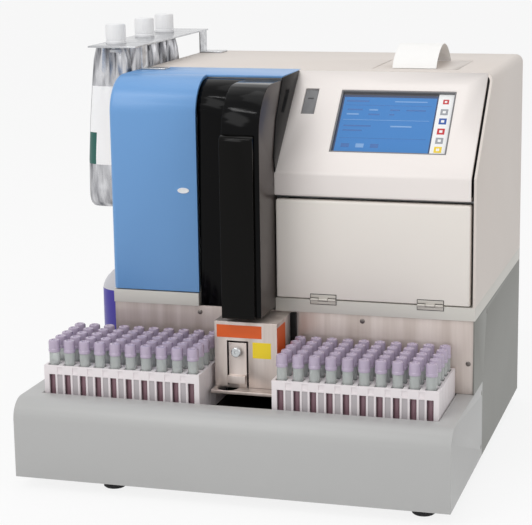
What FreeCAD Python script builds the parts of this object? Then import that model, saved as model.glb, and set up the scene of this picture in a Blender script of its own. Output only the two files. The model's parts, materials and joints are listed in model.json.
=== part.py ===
import FreeCAD, Part
import os
import Sketcher

# A bench-top glycohemoglobin analyzer with a front rack loader.
# Frame: origin on the bench under the middle of the footprint, +X to the
# operator's right, -Y towards the operator, +Z up. Millimetres.

SIZES = [
    # Overall footprint and levels above the bench
    ("base_width", 530),
    ("base_depth", 515),
    ("top_height", 482),
    ("foot_height", 15),
    ("foot_radius", 15),
    ("foot_inset", 38),
    ("sheet", 2),
    ("slit", 0.3),
    # Rack loader moulding
    ("rim_height", 110.5),
    ("rack_floor", 88),
    ("rim_front", 39),
    ("rim_side", 21.5),
    ("nose_radius", 24),
    ("floor_plate", 1.5),
    ("wing_setback", 212),
    ("wing_wall", 2.5),
    # Upper body: how far its face stands behind the loader's front
    ("face_setback", 150),
    ("recess_width", 75),
    ("shelf_height", 201),
    ("shelf_thickness", 16),
    ("cover_wall", 3),
    ("cover_round", 10),
    # Sloped operator panel and the drop-down door under it
    ("panel_left", 20.5),
    ("panel_margin", 6.5),
    ("panel_wall", 4),
    ("bay_wall", 4),
    ("door_gap", 1.5),
    ("door_height", 120.5),
    ("door_depth", 12),
    ("door_skin", 3),
    ("panel_gap", 4.5),
    ("band_height", 27.5),
    ("slope_setback", 265),
    # Screen opening, measured across and up the slope from the fold
    ("screen_left", 82),
    ("screen_width", 142),
    ("screen_rise", 34),
    ("screen_height", 96),
    ("bezel_frame", 4),
    ("bezel_depth", 5),
    ("glass_width", 114),
    ("glass_thickness", 1.6),
    ("slot_left", 36),
    ("slot_width", 17),
    ("slot_rise", 91),
    ("slot_height", 40),
    # Left door, the top cover behind it and the column bay
    ("left_door_width", 112.5),
    ("bend_radius", 45),
    ("left_door_wall", 4),
    ("left_door_return", 12),
    ("seam_setback", 197.5),
    ("top_cover_setback", 280),
    ("pin_radius", 1.2),
    ("pin_play", 0.3),
    ("pin_length", 80),
    # Sampler column and its covers
    ("column_left", -25.5),
    ("column_width", 46.3),
    ("column_gap", 1),
    ("fin_wall", 1.5),
    ("fin_lift", 0.4),
    ("column_setback", 88),
    ("column_bottom", 206),
    ("column_drop", 4),
    ("column_bend", 58),
    ("column_wall", 3),
    ("front_cover_depth", 10),
    ("front_cover_top", 424),
    ("side_panel_setback", 155),
    ("side_panel_bottom", 201.3),
    ("needle_radius", 1.2),
    ("needle_length", 150),
    ("needle_travel", 85),
    ("guide_radius", 3),
    ("carriage_height", 34),
    ("carriage_top", 408),
    # Sampling station between the two rack groups
    ("station_half", 39),
    ("station_setback", 90),
    ("station_top", 199.5),
    ("station_bottom", 119),
    ("station_wall", 1.5),
    ("hatch_left", -23.5),
    ("hatch_width", 26.5),
    ("hatch_bottom", 121),
    ("hatch_top", 176),
    ("hatch_cut", 2.2),
    ("knob_radius", 6.2),
    ("knob_height", 163.5),
    ("tube_port_setback", 72),
    ("tube_port_radius", 13),
    ("tube_port_inset", 15),
    ("lane_half", 43.5),
    ("lane_sheet", 0.8),
    ("rail_width", 7),
    ("rail_depth", 6),
    # Sample racks, tubes and stoppers
    ("rack_places", 10),
    ("rack_count", 5),
    ("rack_length", 198),
    ("rack_width", 19.6),
    ("rack_height", 54),
    ("rack_pitch", 20.4),
    ("rack_setback", 45.5),
    ("rack_offset", 44.5),
    ("place_pitch", 19.7),
    ("cell_side", 14),
    ("cell_floor", 3),
    ("window_width", 7.6),
    ("window_top", 43),
    ("tube_radius", 6.5),
    ("tube_length", 66),
    ("stopper_radius", 7.4),
    ("stopper_height", 15),
    # Printer in the top
    ("printer_left", 107),
    ("printer_width", 108),
    ("printer_setback", 297),
    ("printer_depth", 118),
    ("printer_well", 60),
    ("lid_wall", 3),
    ("lid_gap", 0.9),
    ("paper_width", 56),
    ("paper_left", 131.5),
    ("paper_slot_setback", 303),
    ("paper_reach", 102),
    ("paper_rise", 27),
    ("paper_thickness", 0.5),
    ("roll_radius", 20),
    ("well_ledge", 2),
    # Reagent pouches on their bracket, and the wash bottle
    ("plate_height", 511),
    ("plate_thickness", 2),
    ("plate_setback", 218),
    ("plate_length", 290),
    ("front_leg", 243),
    ("front_leg_width", 18),
    ("rear_leg", 474),
    ("rear_leg_width", 28),
    ("plate_overhang", 36),
    ("pouch_half", 36),
    ("pouch_depth", 46),
    ("pouch_height", 206),
    ("pouch_setback", 265),
    ("pouch_step_1", 105),
    ("pouch_step_2", 78),
    ("neck_shift", 6),
    ("pouch_clearance", 2),
    ("neck_radius", 9),
    ("cap_radius", 13.3),
    ("cap_height", 25),
    ("bottle_radius", 36),
    ("bottle_height", 224),
    ("bottle_setback", 296),
    ("bottle_shelf", 19),
    ("bottle_neck", 15),
    ("bottle_cap_height", 16),
    # Rear sheet: cooling slots, mains inlet and rocker switch
    ("vent_rows", 7),
    ("vent_pitch", 13),
    ("vent_slot", 5),
    ("vent_length", 120),
    ("vent_top_low", 170),
    ("vent_left_low", -140),
    ("vent_top_high", 420),
    ("vent_left_high", 60),
    ("module_left", 172),
    ("module_width", 60),
    ("module_bottom", 45),
    ("module_height", 32),
    ("module_depth", 8),
    ("module_edge", 4),
    ("inlet_width", 24),
    ("inlet_height", 16),
    ("inlet_depth", 6),
    ("rocker_width", 18),
    ("rocker_length", 24),
    ("rocker_thick", 2.8),
    ("rocker_tilt", 8),
    ("rocker_stand", -1.8),
    ("screw_radius", 3),
    ("screw_head", 1.2),
    # Inner parts behind the two doors
    ("oven_inset", 18),
    ("oven_width", 72.5),
    ("oven_bottom", 300),
    ("oven_height", 115),
    ("oven_depth", 22),
    ("separator_radius", 6),
    ("separator_length", 90),
    ("pump_left", 50),
    ("pump_width", 90),
    ("pump_height", 98),
    ("pump_depth", 18),
    ("head_radius", 13),
    ("head_length", 14),
]

doc = FreeCAD.newDocument("analyzer")
sheet = doc.addObject("Spreadsheet::Sheet", "Dims")
for row, (alias, value) in enumerate(SIZES, start=1):
    sheet.set(f"A{row}", alias)
    sheet.set(f"B{row}", str(value))
    sheet.setAlias(f"B{row}", alias)
doc.recompute()

# Places that many pieces share, as expressions on the sheet
FRONT = "(-Dims.base_depth / 2)"
BACK = "(Dims.base_depth / 2)"
RIGHT = "(Dims.base_width / 2)"
LEFT = f"(Dims.recess_width - {RIGHT})"
FACE = f"({FRONT} + Dims.face_setback)"
SHELF_TOP = "(Dims.shelf_height + Dims.shelf_thickness)"
TOP = "Dims.top_height"
INNER_LEFT = f"({LEFT} + Dims.cover_wall)"
INNER_RIGHT = f"({RIGHT} - Dims.cover_wall)"
INNER_TOP = "(Dims.top_height - Dims.cover_wall)"
INNER_BACK = f"({BACK} - Dims.sheet)"
DOOR_BOTTOM = f"({SHELF_TOP} + Dims.door_gap)"
DOOR_TOP = f"({DOOR_BOTTOM} + Dims.door_height)"
PANEL_BOTTOM = f"({DOOR_TOP} + Dims.panel_gap)"
FOLD = f"({PANEL_BOTTOM} + Dims.band_height)"
PANEL_RIGHT = f"({RIGHT} - Dims.panel_margin)"
SLOPE_TOP = f"({FRONT} + Dims.slope_setback)"
SEAM = f"({FRONT} + Dims.seam_setback)"
TOP_SEAM = f"({FRONT} + Dims.top_cover_setback)"
SPLIT = "(Dims.panel_left - Dims.slit)"
LEFT_DOOR_END = f"({LEFT} + Dims.left_door_width)"
COLUMN_RIGHT = "(Dims.column_left + Dims.column_width)"
COLUMN_FRONT = f"({FRONT} + Dims.column_setback)"
COLUMN_TOP = "(Dims.top_height - Dims.column_drop)"
SIDE_FACE = f"({FRONT} + Dims.side_panel_setback)"
STATION_FRONT = f"({FRONT} + Dims.station_setback)"
BAY_FACE = f"({FACE} + 3)"
DECK = "(Dims.rack_floor + Dims.floor_plate)"
POUCH_X = f"({LEFT} - Dims.pouch_clearance - Dims.pouch_half)"
BOTTLE_X = f"({LEFT} - 1 - Dims.bottle_radius)"
SLOPE_RUN = f"({SLOPE_TOP} - {FACE})"
SLOPE_RISE = f"({TOP} - {FOLD})"
PIN_X = f"({LEFT} + Dims.left_door_wall / 2)"
PIN_Y = f"({FACE} + Dims.left_door_return - Dims.left_door_wall / 2)"


def size(expression):
    """The value in millimetres of an expression on the sheet."""
    return float(sheet.evalExpression(expression))


def bind(item, **expressions):
    """Tie properties of one object to expressions; x, y and z are its place."""
    for name, expression in expressions.items():
        if name in ("x", "y", "z"):
            name = f"Placement.Base.{name}"
        item.setExpression(name, expression)
    return item


pieces = {}


def named(item, label):
    """Keep a finished sub-part under its own label."""
    item.Label = label
    pieces[label] = item
    return item


def block(x, y, z):
    """A box between three pairs of expressions."""
    item = doc.addObject("Part::Box", "Block")
    return bind(item, x=x[0], y=y[0], z=z[0], Length=f"({x[1]}) - ({x[0]})",
                Width=f"({y[1]}) - ({y[0]})", Height=f"({z[1]}) - ({z[0]})")


TURNS = {"x": FreeCAD.Rotation(FreeCAD.Vector(0, 1, 0), 90),
         "y": FreeCAD.Rotation(FreeCAD.Vector(1, 0, 0), -90),
         "z": FreeCAD.Rotation()}


def rod(axis, radius, start, length):
    """A cylinder that starts at one point and runs along +X, +Y or +Z."""
    item = doc.addObject("Part::Cylinder", "Rod")
    item.Placement = FreeCAD.Placement(FreeCAD.Vector(), TURNS[axis])
    return bind(item, x=start[0], y=start[1], z=start[2], Radius=radius, Height=length)


def bar(axis, radius, start, length, sides="12"):
    """A many-sided bar, for the small round parts; its corners lie on the radius."""
    item = doc.addObject("Part::Prism", "Bar")
    item.Placement = FreeCAD.Placement(FreeCAD.Vector(), TURNS[axis])
    return bind(item, x=start[0], y=start[1], z=start[2], Polygon=sides, Circumradius=radius,
                Height=length)


def fuse(*items):
    joined = doc.addObject("Part::MultiFuse", "Joined")
    joined.Shapes = list(items)
    joined.Refine = True
    return joined


def cut(base, *tools):
    """One solid less one or more others."""
    carved = doc.addObject("Part::Cut", "Carved")
    carved.Base = base
    carved.Tool = fuse(*tools) if len(tools) > 1 else tools[0]
    carved.Refine = True
    return carved


def group(*items):
    """Like separate solids in one node."""
    together = doc.addObject("Part::Compound", "Group")
    together.Links = list(items)
    return together


def body(label, finished=True):
    """A PartDesign body; an unfinished one is carved further before it is kept."""
    part = doc.addObject("PartDesign::Body", label)
    return named(part, label) if finished else part


def origin_item(part, role):
    return next(item for item in part.Origin.OriginFeatures if item.Role == role)


def outline(part, plane, offset, points):
    """A closed outline of straight lines, each corner held by two sizes."""
    drawn = part.newObject("Sketcher::SketchObject", "Outline")
    drawn.AttachmentSupport = [(origin_item(part, plane), "")]
    drawn.MapMode = "FlatFace"
    drawn.setExpression("AttachmentOffset.Base.z", offset)
    corners = [FreeCAD.Vector(size(u), size(v), 0) for u, v in points]
    count = len(corners)
    for index in range(count):
        drawn.addGeometry(Part.LineSegment(corners[index], corners[(index + 1) % count]), False)
    for index in range(count):
        drawn.addConstraint(Sketcher.Constraint("Coincident", index, 2, (index + 1) % count, 1))
    for index, (u, v) in enumerate(points):
        for kind, value, expression in (("DistanceX", corners[index].x, u),
                                        ("DistanceY", corners[index].y, v)):
            held = drawn.addConstraint(Sketcher.Constraint(kind, -1, 1, index, 1, value))
            drawn.setExpression(f"Constraints[{held}]", expression)
    return drawn


def rectangle(part, plane, offset, u, v):
    return outline(part, plane, offset, [(u[0], v[0]), (u[1], v[0]), (u[1], v[1]), (u[0], v[1])])


def feature(part, kind, profile, length, turned=False):
    item = part.newObject(f"PartDesign::{kind}", kind)
    item.Profile = profile
    item.setExpression("Length", length)
    item.Reversed = turned
    doc.recompute()
    return item


def soften(part, kind, amount, test):
    """A fillet or chamfer on every edge of the tip whose two ends pass the test."""
    tip = part.Tip
    edges = [f"Edge{number}" for number, edge in enumerate(tip.Shape.Edges, start=1)
             if len(edge.Vertexes) == 2 and test(*[vertex.Point for vertex in edge.Vertexes])]
    item = part.newObject(f"PartDesign::{kind}", kind)
    item.Base = (tip, edges)
    item.setExpression("Radius" if kind == "Fillet" else "Size", amount)
    doc.recompute()
    return item


def along_x(y, z):
    """A test for edges that run along X at one height and depth."""
    return lambda a, b: all(abs(p.y - size(y)) < 0.01 and abs(p.z - size(z)) < 0.01 for p in (a, b))


def along_y(x, z):
    return lambda a, b: all(abs(p.x - size(x)) < 0.01 and abs(p.z - size(z)) < 0.01 for p in (a, b))


def upright(x, y):
    return lambda a, b: all(abs(p.x - size(x)) < 0.01 and abs(p.y - size(y)) < 0.01 for p in (a, b))


def repeat(part, item, plane_axis, pitch, count):
    """A row of copies of one feature."""
    row = part.newObject("PartDesign::LinearPattern", "Row")
    row.Originals = [item]
    row.Direction = (origin_item(part, plane_axis), [""])
    row.Mode = "Spacing"
    row.setExpression("Offset", pitch)
    row.setExpression("Occurrences", count)
    part.Tip = row
    doc.recompute()
    return row


BAY_SCREWS = (("-78", "193"), ("128", "193"), (f"{RIGHT} - 8", "148"))
WING_SCREWS = ((f"{FRONT} + Dims.wing_setback - 6", "97"), (f"{FRONT} + Dims.wing_setback - 6", "28"))
SIDE_SCREW = (f"{FRONT} + Dims.wing_setback + 26", "193")


def screw_recess(y, z):
    """A shallow round recess in the right side that takes a screw head flush."""
    return bar("x", "(Dims.screw_radius + Dims.slit) / cos(15)",
               (f"{RIGHT} - Dims.screw_head", y, z), "5")


def loader_base():
    """The wide light moulding in front: rounded nose, rack tray and side wings."""
    part = body("loader_moulding", finished=False)
    wing_back = f"{FRONT} + Dims.wing_setback"
    section = outline(part, "YZ_Plane", f"-{RIGHT}", [
        (FRONT, "Dims.foot_height"), (wing_back, "Dims.foot_height"),
        (wing_back, "Dims.rim_height"), (FRONT, "Dims.rim_height")])
    feature(part, "Pad", section, "Dims.base_width")
    soften(part, "Fillet", "Dims.nose_radius", along_x(FRONT, "Dims.rim_height"))
    tray = rectangle(part, "XY_Plane", "Dims.rim_height",
                     (f"Dims.rim_side - {RIGHT}", f"{RIGHT} - Dims.rim_side"),
                     (f"{FRONT} + Dims.rim_front", f"{BAY_FACE}"))
    feature(part, "Pocket", tray, "Dims.rim_height - Dims.rack_floor")
    behind = rectangle(part, "XY_Plane", "Dims.rim_height",
                       (LEFT, f"{RIGHT} - Dims.wing_wall"), (BAY_FACE, wing_back))
    feature(part, "Pocket", behind, "Dims.rim_height - Dims.foot_height")
    recesses = [screw_recess(*place) for place in WING_SCREWS]
    return named(cut(part, *recesses), "loader_base")


def rack_floor():
    """The steel plate that the racks slide on."""
    plate = block((f"Dims.rim_side - {RIGHT}", f"{RIGHT} - Dims.rim_side"),
                  (f"{FRONT} + Dims.rim_front", BAY_FACE), ("Dims.rack_floor", DECK))
    return named(plate, "rack_floor")


def feet():
    """Four round rubber feet under the corners of the loader and the body."""
    pads = []
    front_y = f"{FRONT} + Dims.foot_inset"
    back_y = f"{BACK} - Dims.foot_inset"
    for x, y in ((f"{LEFT} + Dims.foot_inset", front_y), (f"{RIGHT} - Dims.foot_inset", front_y),
                 (f"{LEFT} + Dims.foot_inset", back_y), (f"{RIGHT} - Dims.foot_inset", back_y)):
        pads.append(bar("z", "Dims.foot_radius", (x, y, "0"), "Dims.foot_height", "16"))
    return named(group(*pads), "feet")


def lower_body():
    """The closed lower chassis behind the racks and its grey side and rear sheets."""
    side_x = f"{RIGHT} - Dims.sheet"
    wing_back = f"{FRONT} + Dims.wing_setback"
    chassis = block((f"{LEFT} + Dims.sheet", f"{RIGHT} - Dims.wing_wall"),
                    (f"{BAY_FACE} + Dims.sheet", INNER_BACK), ("Dims.foot_height", "Dims.shelf_height"))
    module_room = block(("Dims.module_left - 1", "Dims.module_left + Dims.module_width + 1"),
                        (f"{INNER_BACK} - Dims.module_depth", BACK),
                        ("Dims.module_bottom - 1", "Dims.module_bottom + Dims.module_height + 1"))
    named(cut(chassis, module_room), "lower_chassis")
    whole = block((side_x, RIGHT), (FACE, INNER_BACK), ("Dims.foot_height", "Dims.shelf_height"))
    corner = block((f"{side_x} - 1", f"{RIGHT} + 1"), (f"{FACE} - 1", wing_back),
                   ("0", "Dims.rim_height"))
    recess = screw_recess(*SIDE_SCREW)
    right = cut(whole, corner, recess)
    left = block((LEFT, f"{LEFT} + Dims.sheet"), (f"{BAY_FACE} + Dims.sheet", INNER_BACK),
                 ("Dims.foot_height", "Dims.shelf_height"))
    named(group(right, left), "side_panels")
    bay = block((LEFT, side_x), (BAY_FACE, f"{BAY_FACE} + Dims.sheet"),
                ("Dims.rim_height", "Dims.shelf_height"))
    named(bay, "bay_back_plate")


def instrument_shelf():
    """The pale shelf that carries the upper body; its front edge shows as a lip."""
    slab = block((LEFT, RIGHT), (FACE, INNER_BACK), ("Dims.shelf_height", SHELF_TOP))
    notch = block((f"{LEFT_DOOR_END} - 1", "Dims.panel_left"),
                  (f"{FACE} - 1", SEAM), ("Dims.shelf_height - 1", f"{SHELF_TOP} + 1"))
    # The left door's pin is pressed into the shelf
    pin = rod("z", "Dims.pin_radius", (PIN_X, PIN_Y, f"{SHELF_TOP} - 8"), "Dims.pin_length + 4")
    return named(fuse(cut(slab, notch), pin), "instrument_shelf")


def upper_housing():
    """The beige outer cover: a rounded arch trimmed to the sloped panel and the left door."""
    part = body("upper_housing")
    arch = outline(part, "XZ_Plane", f"-({BACK})", [
        (LEFT, SHELF_TOP), (LEFT, TOP), (RIGHT, TOP), (RIGHT, SHELF_TOP),
        (INNER_RIGHT, SHELF_TOP), (INNER_RIGHT, INNER_TOP), (INNER_LEFT, INNER_TOP),
        (INNER_LEFT, SHELF_TOP)])
    feature(part, "Pad", arch, f"({BACK}) - ({FACE})")
    for x in (INNER_LEFT, INNER_RIGHT):
        soften(part, "Fillet", "Dims.cover_round - Dims.cover_wall", along_y(x, INNER_TOP))
    for x in (LEFT, RIGHT):
        soften(part, "Fillet", "Dims.cover_round", along_y(x, TOP))
    wedge = outline(part, "YZ_Plane", f"{RIGHT} + 1", [
        (f"{FACE} - 1", FOLD), (FACE, FOLD), (SLOPE_TOP, TOP), (SLOPE_TOP, f"{TOP} + 1"),
        (f"{FACE} - 1", f"{TOP} + 1")])
    feature(part, "Pocket", wedge, f"{RIGHT} + 1 - ({SPLIT})")
    crown = rectangle(part, "XY_Plane", f"{TOP} + 1", (f"{SPLIT} - 1", f"{PANEL_RIGHT} + Dims.slit"),
                      (FACE, SLOPE_TOP))
    feature(part, "Pocket", crown, "Dims.cover_round + Dims.cover_wall")
    # Left of the panel the cover starts behind the door's return, its bend and the blue top
    behind_return = f"{FACE} + Dims.left_door_return + 1"
    bend_foot = f"{TOP} - Dims.bend_radius - 1"
    step = outline(part, "YZ_Plane", SPLIT, [
        (f"{FACE} - 1", f"{SHELF_TOP} - 1"), (behind_return, f"{SHELF_TOP} - 1"),
        (behind_return, bend_foot), (SEAM, bend_foot), (SEAM, f"{TOP} - Dims.cover_round"),
        (TOP_SEAM, f"{TOP} - Dims.cover_round"), (TOP_SEAM, f"{TOP} + 1"),
        (f"{FACE} - 1", f"{TOP} + 1")])
    feature(part, "Pocket", step, f"{SPLIT} - ({LEFT}) + 1")
    well = rectangle(part, "XY_Plane", f"{TOP} + 1",
                     ("Dims.printer_left", "Dims.printer_left + Dims.printer_width"),
                     (f"{FRONT} + Dims.printer_setback",
                      f"{FRONT} + Dims.printer_setback + Dims.printer_depth"))
    feature(part, "Pocket", well, "Dims.cover_wall + 2")
    return part


def inner_frame():
    """The closed frame behind the covers, and the bay frame with the two front compartments."""
    ceiling = f"({TOP} - Dims.bend_radius - 1)"
    back_start = f"({SEAM} + Dims.slit)"
    parting = f"({TOP_SEAM} + 1)"
    round_left = f"({LEFT} + Dims.cover_round)"
    low_top = f"({TOP} - Dims.cover_round)"
    bulk = block((INNER_LEFT, INNER_RIGHT), (parting, INNER_BACK), (SHELF_TOP, low_top))
    crown = block((round_left, f"{RIGHT} - Dims.cover_round"), (parting, INNER_BACK),
                  (f"{low_top} - 1", INNER_TOP))
    ledge = "Dims.well_ledge"
    well = block((f"Dims.printer_left + {ledge}", f"Dims.printer_left + Dims.printer_width - {ledge}"),
                 (f"{FRONT} + Dims.printer_setback + {ledge}",
                  f"{FRONT} + Dims.printer_setback + Dims.printer_depth - {ledge}"),
                 (f"{INNER_TOP} - Dims.printer_well", f"{INNER_TOP} + 1"))
    named(cut(fuse(bulk, crown), well), "inner_frame")
    left_bulk = block((INNER_LEFT, SPLIT), (back_start, parting), (SHELF_TOP, low_top))
    left_crown = block((round_left, SPLIT), (back_start, parting), (f"{low_top} - 1", INNER_TOP))
    bay_front = f"({FACE} + Dims.left_door_return)"
    wall = "Dims.bay_wall"
    deck = block((INNER_LEFT, LEFT_DOOR_END), (f"{bay_front} + 1", f"{SEAM} + 1"),
                 (f"{ceiling} - {wall}", ceiling))
    divider = block((f"{LEFT_DOOR_END} - {wall}", LEFT_DOOR_END), (bay_front, f"{SEAM} + 1"),
                    (SHELF_TOP, ceiling))
    right_bulk = block((f"{SPLIT} - 1", INNER_RIGHT), (back_start, parting),
                       (SHELF_TOP, f"{PANEL_BOTTOM} - 1"))
    door_back = f"({FACE} + Dims.door_depth + 1)"
    roof = block(("Dims.panel_left", INNER_RIGHT), (door_back, f"{SEAM} + 1"),
                 (f"{DOOR_TOP} + 1", f"{PANEL_BOTTOM} - 1"))
    cheek = block(("Dims.panel_left", f"Dims.panel_left + {wall}"), (door_back, f"{SEAM} + 1"),
                  (SHELF_TOP, f"{DOOR_TOP} + 2"))
    return named(fuse(left_bulk, left_crown, deck, divider, right_bulk, roof, cheek), "bay_frame")


def rear_panel():
    """The flat rear sheet: two grilles of cooling slots and the power module's opening."""
    part = body("rear_sheet", finished=False)
    inner = "(Dims.cover_wall + Dims.slit)"
    profile = outline(part, "XZ_Plane", f"-({BACK})", [
        (LEFT, "Dims.foot_height"), (RIGHT, "Dims.foot_height"), (RIGHT, SHELF_TOP),
        (f"{RIGHT} - {inner}", SHELF_TOP), (f"{RIGHT} - {inner}", f"{TOP} - {inner}"),
        (f"{LEFT} + {inner}", f"{TOP} - {inner}"), (f"{LEFT} + {inner}", SHELF_TOP), (LEFT, SHELF_TOP)])
    feature(part, "Pad", profile, "Dims.sheet")
    for x in (f"{LEFT} + {inner}", f"{RIGHT} - {inner}"):
        soften(part, "Fillet", "Dims.cover_round - Dims.cover_wall", along_y(x, f"{TOP} - {inner}"))
    through = (f"{INNER_BACK} - 1", f"{BACK} + 1")
    openings = []
    for row in range(int(size("Dims.vent_rows"))):
        level = f"Dims.vent_top_low - {row} * Dims.vent_pitch"
        openings.append(block(("Dims.vent_left_low", "Dims.vent_left_low + Dims.vent_length"), through,
                              (f"{level} - Dims.vent_slot", level)))
        level = f"Dims.vent_top_high - {row} * Dims.vent_pitch"
        openings.append(block(("Dims.vent_left_high", "Dims.vent_left_high + Dims.vent_length"), through,
                              (f"{level} - Dims.vent_slot", level)))
    openings.append(block(("Dims.module_left", "Dims.module_left + Dims.module_width"), through,
                          ("Dims.module_bottom", "Dims.module_bottom + Dims.module_height")))
    return named(cut(part, *openings), "rear_panel")


def operator_panel():
    """The white sloped panel: a bent moulding with the screen opening and a card slot."""
    part = body("panel_moulding", finished=False)
    wall = "Dims.panel_wall"
    section = outline(part, "YZ_Plane", "Dims.panel_left", [
        (FACE, PANEL_BOTTOM), (f"{FACE} + 12", PANEL_BOTTOM), (f"{FACE} + 12", f"{PANEL_BOTTOM} + {wall}"),
        (f"{FACE} + {wall}", f"{PANEL_BOTTOM} + {wall}"),
        (f"{FACE} + {wall}", f"{FOLD} - {wall} / 2"),
        (f"{SLOPE_TOP} - Dims.slit", f"{TOP} - {wall} * 1.4"), (f"{SLOPE_TOP} - Dims.slit", TOP),
        (FACE, FOLD)])
    feature(part, "Pad", section, f"{PANEL_RIGHT} - Dims.panel_left")
    soften(part, "Fillet", "6", along_x(FACE, FOLD))
    soften(part, "Fillet", "2.5", along_x(FACE, PANEL_BOTTOM))
    opening = slope_block("Dims.screen_left", "Dims.screen_width", "Dims.screen_rise",
                          "Dims.screen_height", "12", above="1")
    card_opening = slope_block("Dims.slot_left", "Dims.slot_width", "Dims.slot_rise",
                               "Dims.slot_height", "12", above="1")
    return named(cut(part, opening, card_opening), "operator_panel")


def slope_block(left, width, rise, height, depth, above="0"):
    """A box set into the slope: across, up the slope from the fold, and into it."""
    item = doc.addObject("Part::Box", "Inset")
    angle = f"atan2({SLOPE_RISE}; {SLOPE_RUN})"
    item.setExpression("Placement.Rotation.Axis.x", "1")
    item.setExpression("Placement.Rotation.Axis.z", "0")
    item.setExpression("Placement.Rotation.Angle", angle)
    low = f"(({above}) - ({depth}))"
    return bind(item, x=left,
                y=f"{FACE} + ({rise}) * cos({angle}) - {low} * sin({angle})",
                z=f"{FOLD} + ({rise}) * sin({angle}) + {low} * cos({angle})",
                Length=width, Width=height, Height=depth)


def screen_parts():
    """The grey tray in the opening, the blue touch glass, the key strip and the card slot."""
    edge = "Dims.bezel_frame / 2"
    outer = slope_block("Dims.screen_left + Dims.slit", "Dims.screen_width - 2 * Dims.slit",
                        "Dims.screen_rise + Dims.slit", "Dims.screen_height - 2 * Dims.slit",
                        "Dims.bezel_depth + 2", above="-0.4")
    hollow = slope_block(f"Dims.screen_left + {edge}", f"Dims.screen_width - 2 * {edge}",
                         f"Dims.screen_rise + {edge}", f"Dims.screen_height - 2 * {edge}",
                         "Dims.bezel_depth + 1", above="1")
    named(cut(outer, hollow), "screen_bezel")
    lift = "Dims.glass_thickness - Dims.bezel_depth"
    glass = slope_block(f"Dims.screen_left + {edge}", f"Dims.screen_width - 2 * {edge}",
                        f"Dims.screen_rise + {edge}", f"Dims.screen_height - 2 * {edge}",
                        "Dims.glass_thickness", above=lift)
    named(glass, "touch_screen")
    insert = slope_block("Dims.slot_left + Dims.slit", "Dims.slot_width - 2 * Dims.slit",
                         "Dims.slot_rise + Dims.slit", "Dims.slot_height - 2 * Dims.slit", "5", above="-1.4")
    groove = slope_block("Dims.slot_left + 5", "Dims.slot_width - 10", "Dims.slot_rise + 24",
                         "2.2", "3", above="0")
    named(cut(insert, groove), "card_slot")


def lower_door():
    """The drop-down door: a shallow shell with a rounded top edge."""
    part = body("lower_door")
    left = "(Dims.panel_left + 1)"
    front = rectangle(part, "XZ_Plane", f"-({FACE} + Dims.door_depth)", (left, PANEL_RIGHT),
                      (DOOR_BOTTOM, DOOR_TOP))
    feature(part, "Pad", front, "Dims.door_depth")
    inside = rectangle(part, "XZ_Plane", f"-({FACE} + Dims.door_skin)",
                       (f"{left} + Dims.door_skin", f"{PANEL_RIGHT} - Dims.door_skin"),
                       (f"{DOOR_BOTTOM} + Dims.door_skin", f"{DOOR_TOP} - Dims.door_skin"))
    feature(part, "Pocket", inside, "Dims.door_depth")
    soften(part, "Fillet", "3.2", along_x(FACE, DOOR_TOP))
    for x in (left, PANEL_RIGHT):
        soften(part, "Fillet", "2.5", lambda a, b, x=x: abs(a.x - size(x)) < 0.01 and
               abs(b.x - size(x)) < 0.01 and abs(a.y - size(FACE)) < 0.01 and
               abs(b.y - size(FACE)) < 0.01)
    return part


HINGE_Y = f"({FACE} - 1.6)"
HINGE_Z = f"({SHELF_TOP} + Dims.door_gap / 2)"


def door_hinges():
    """Two small butt hinges on the face: one leaf on the shelf's lip, one on the door."""
    fixed = []
    moving = []
    for start in ("65", "196"):
        leaf = (f"{FACE} - 0.9", FACE)
        fixed_leaf = block((start, f"{start} + 31"), leaf, (f"{HINGE_Z} - 5.5", f"{HINGE_Z} - 2.2"))
        moving_leaf = block((start, f"{start} + 31"), leaf, (f"{HINGE_Z} + 2.2", f"{HINGE_Z} + 6"))
        ends = []
        for shift in ("0", "21.5"):
            knuckle = bar("x", "1.6", (f"{start} + {shift}", HINGE_Y, HINGE_Z), "9.5", "8")
            web = block((f"{start} + {shift}", f"{start} + {shift} + 9.5"),
                        (f"{FACE} - 1.6", f"{FACE} - 0.4"), (f"{HINGE_Z} - 3", f"{HINGE_Z}"))
            ends += [knuckle, web]
        pin = bar("x", "0.8", (start, HINGE_Y, HINGE_Z), "31", "8")
        fixed.append(fuse(fixed_leaf, pin, *ends))
        middle = bar("x", "1.6", (f"{start} + 9.9", HINGE_Y, HINGE_Z), "11.2", "8")
        middle_web = block((f"{start} + 9.9", f"{start} + 21.1"), (f"{FACE} - 1.6", f"{FACE} - 0.4"),
                           (HINGE_Z, f"{HINGE_Z} + 3"))
        wide_bore = bar("x", "1.1", (f"{start} - 1", HINGE_Y, HINGE_Z), "33", "8")
        moving.append(cut(fuse(moving_leaf, middle, middle_web), wide_bore))
    named(group(*fixed), "hinge_leaves_shelf")
    named(group(*moving), "hinge_leaves_door")


def bent_cover(label, x, face, back, bottom, top, radius, wall, cheeks, finished=True):
    """A cover whose front rolls over into its top, hollow behind, with chosen side walls."""
    part = body(label, finished)
    side = rectangle(part, "YZ_Plane", x[0], (face, back), (bottom, top))
    feature(part, "Pad", side, f"({x[1]}) - ({x[0]})")
    hollow_left = f"({x[0]}) + ({wall if cheeks[0] else -1})"
    hollow_right = f"({x[1]}) - ({wall if cheeks[1] else -1})"
    hollow = rectangle(part, "YZ_Plane", hollow_right, (f"({face}) + {wall}", f"({back}) + 1"),
                       (f"({bottom}) - 1", f"({top}) - {wall}"))
    feature(part, "Pocket", hollow, f"({hollow_right}) - ({hollow_left})")
    soften(part, "Fillet", f"({radius}) - {wall}", along_x(f"({face}) + {wall}", f"({top}) - {wall}"))
    soften(part, "Fillet", radius, along_x(face, top))
    return part


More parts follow.
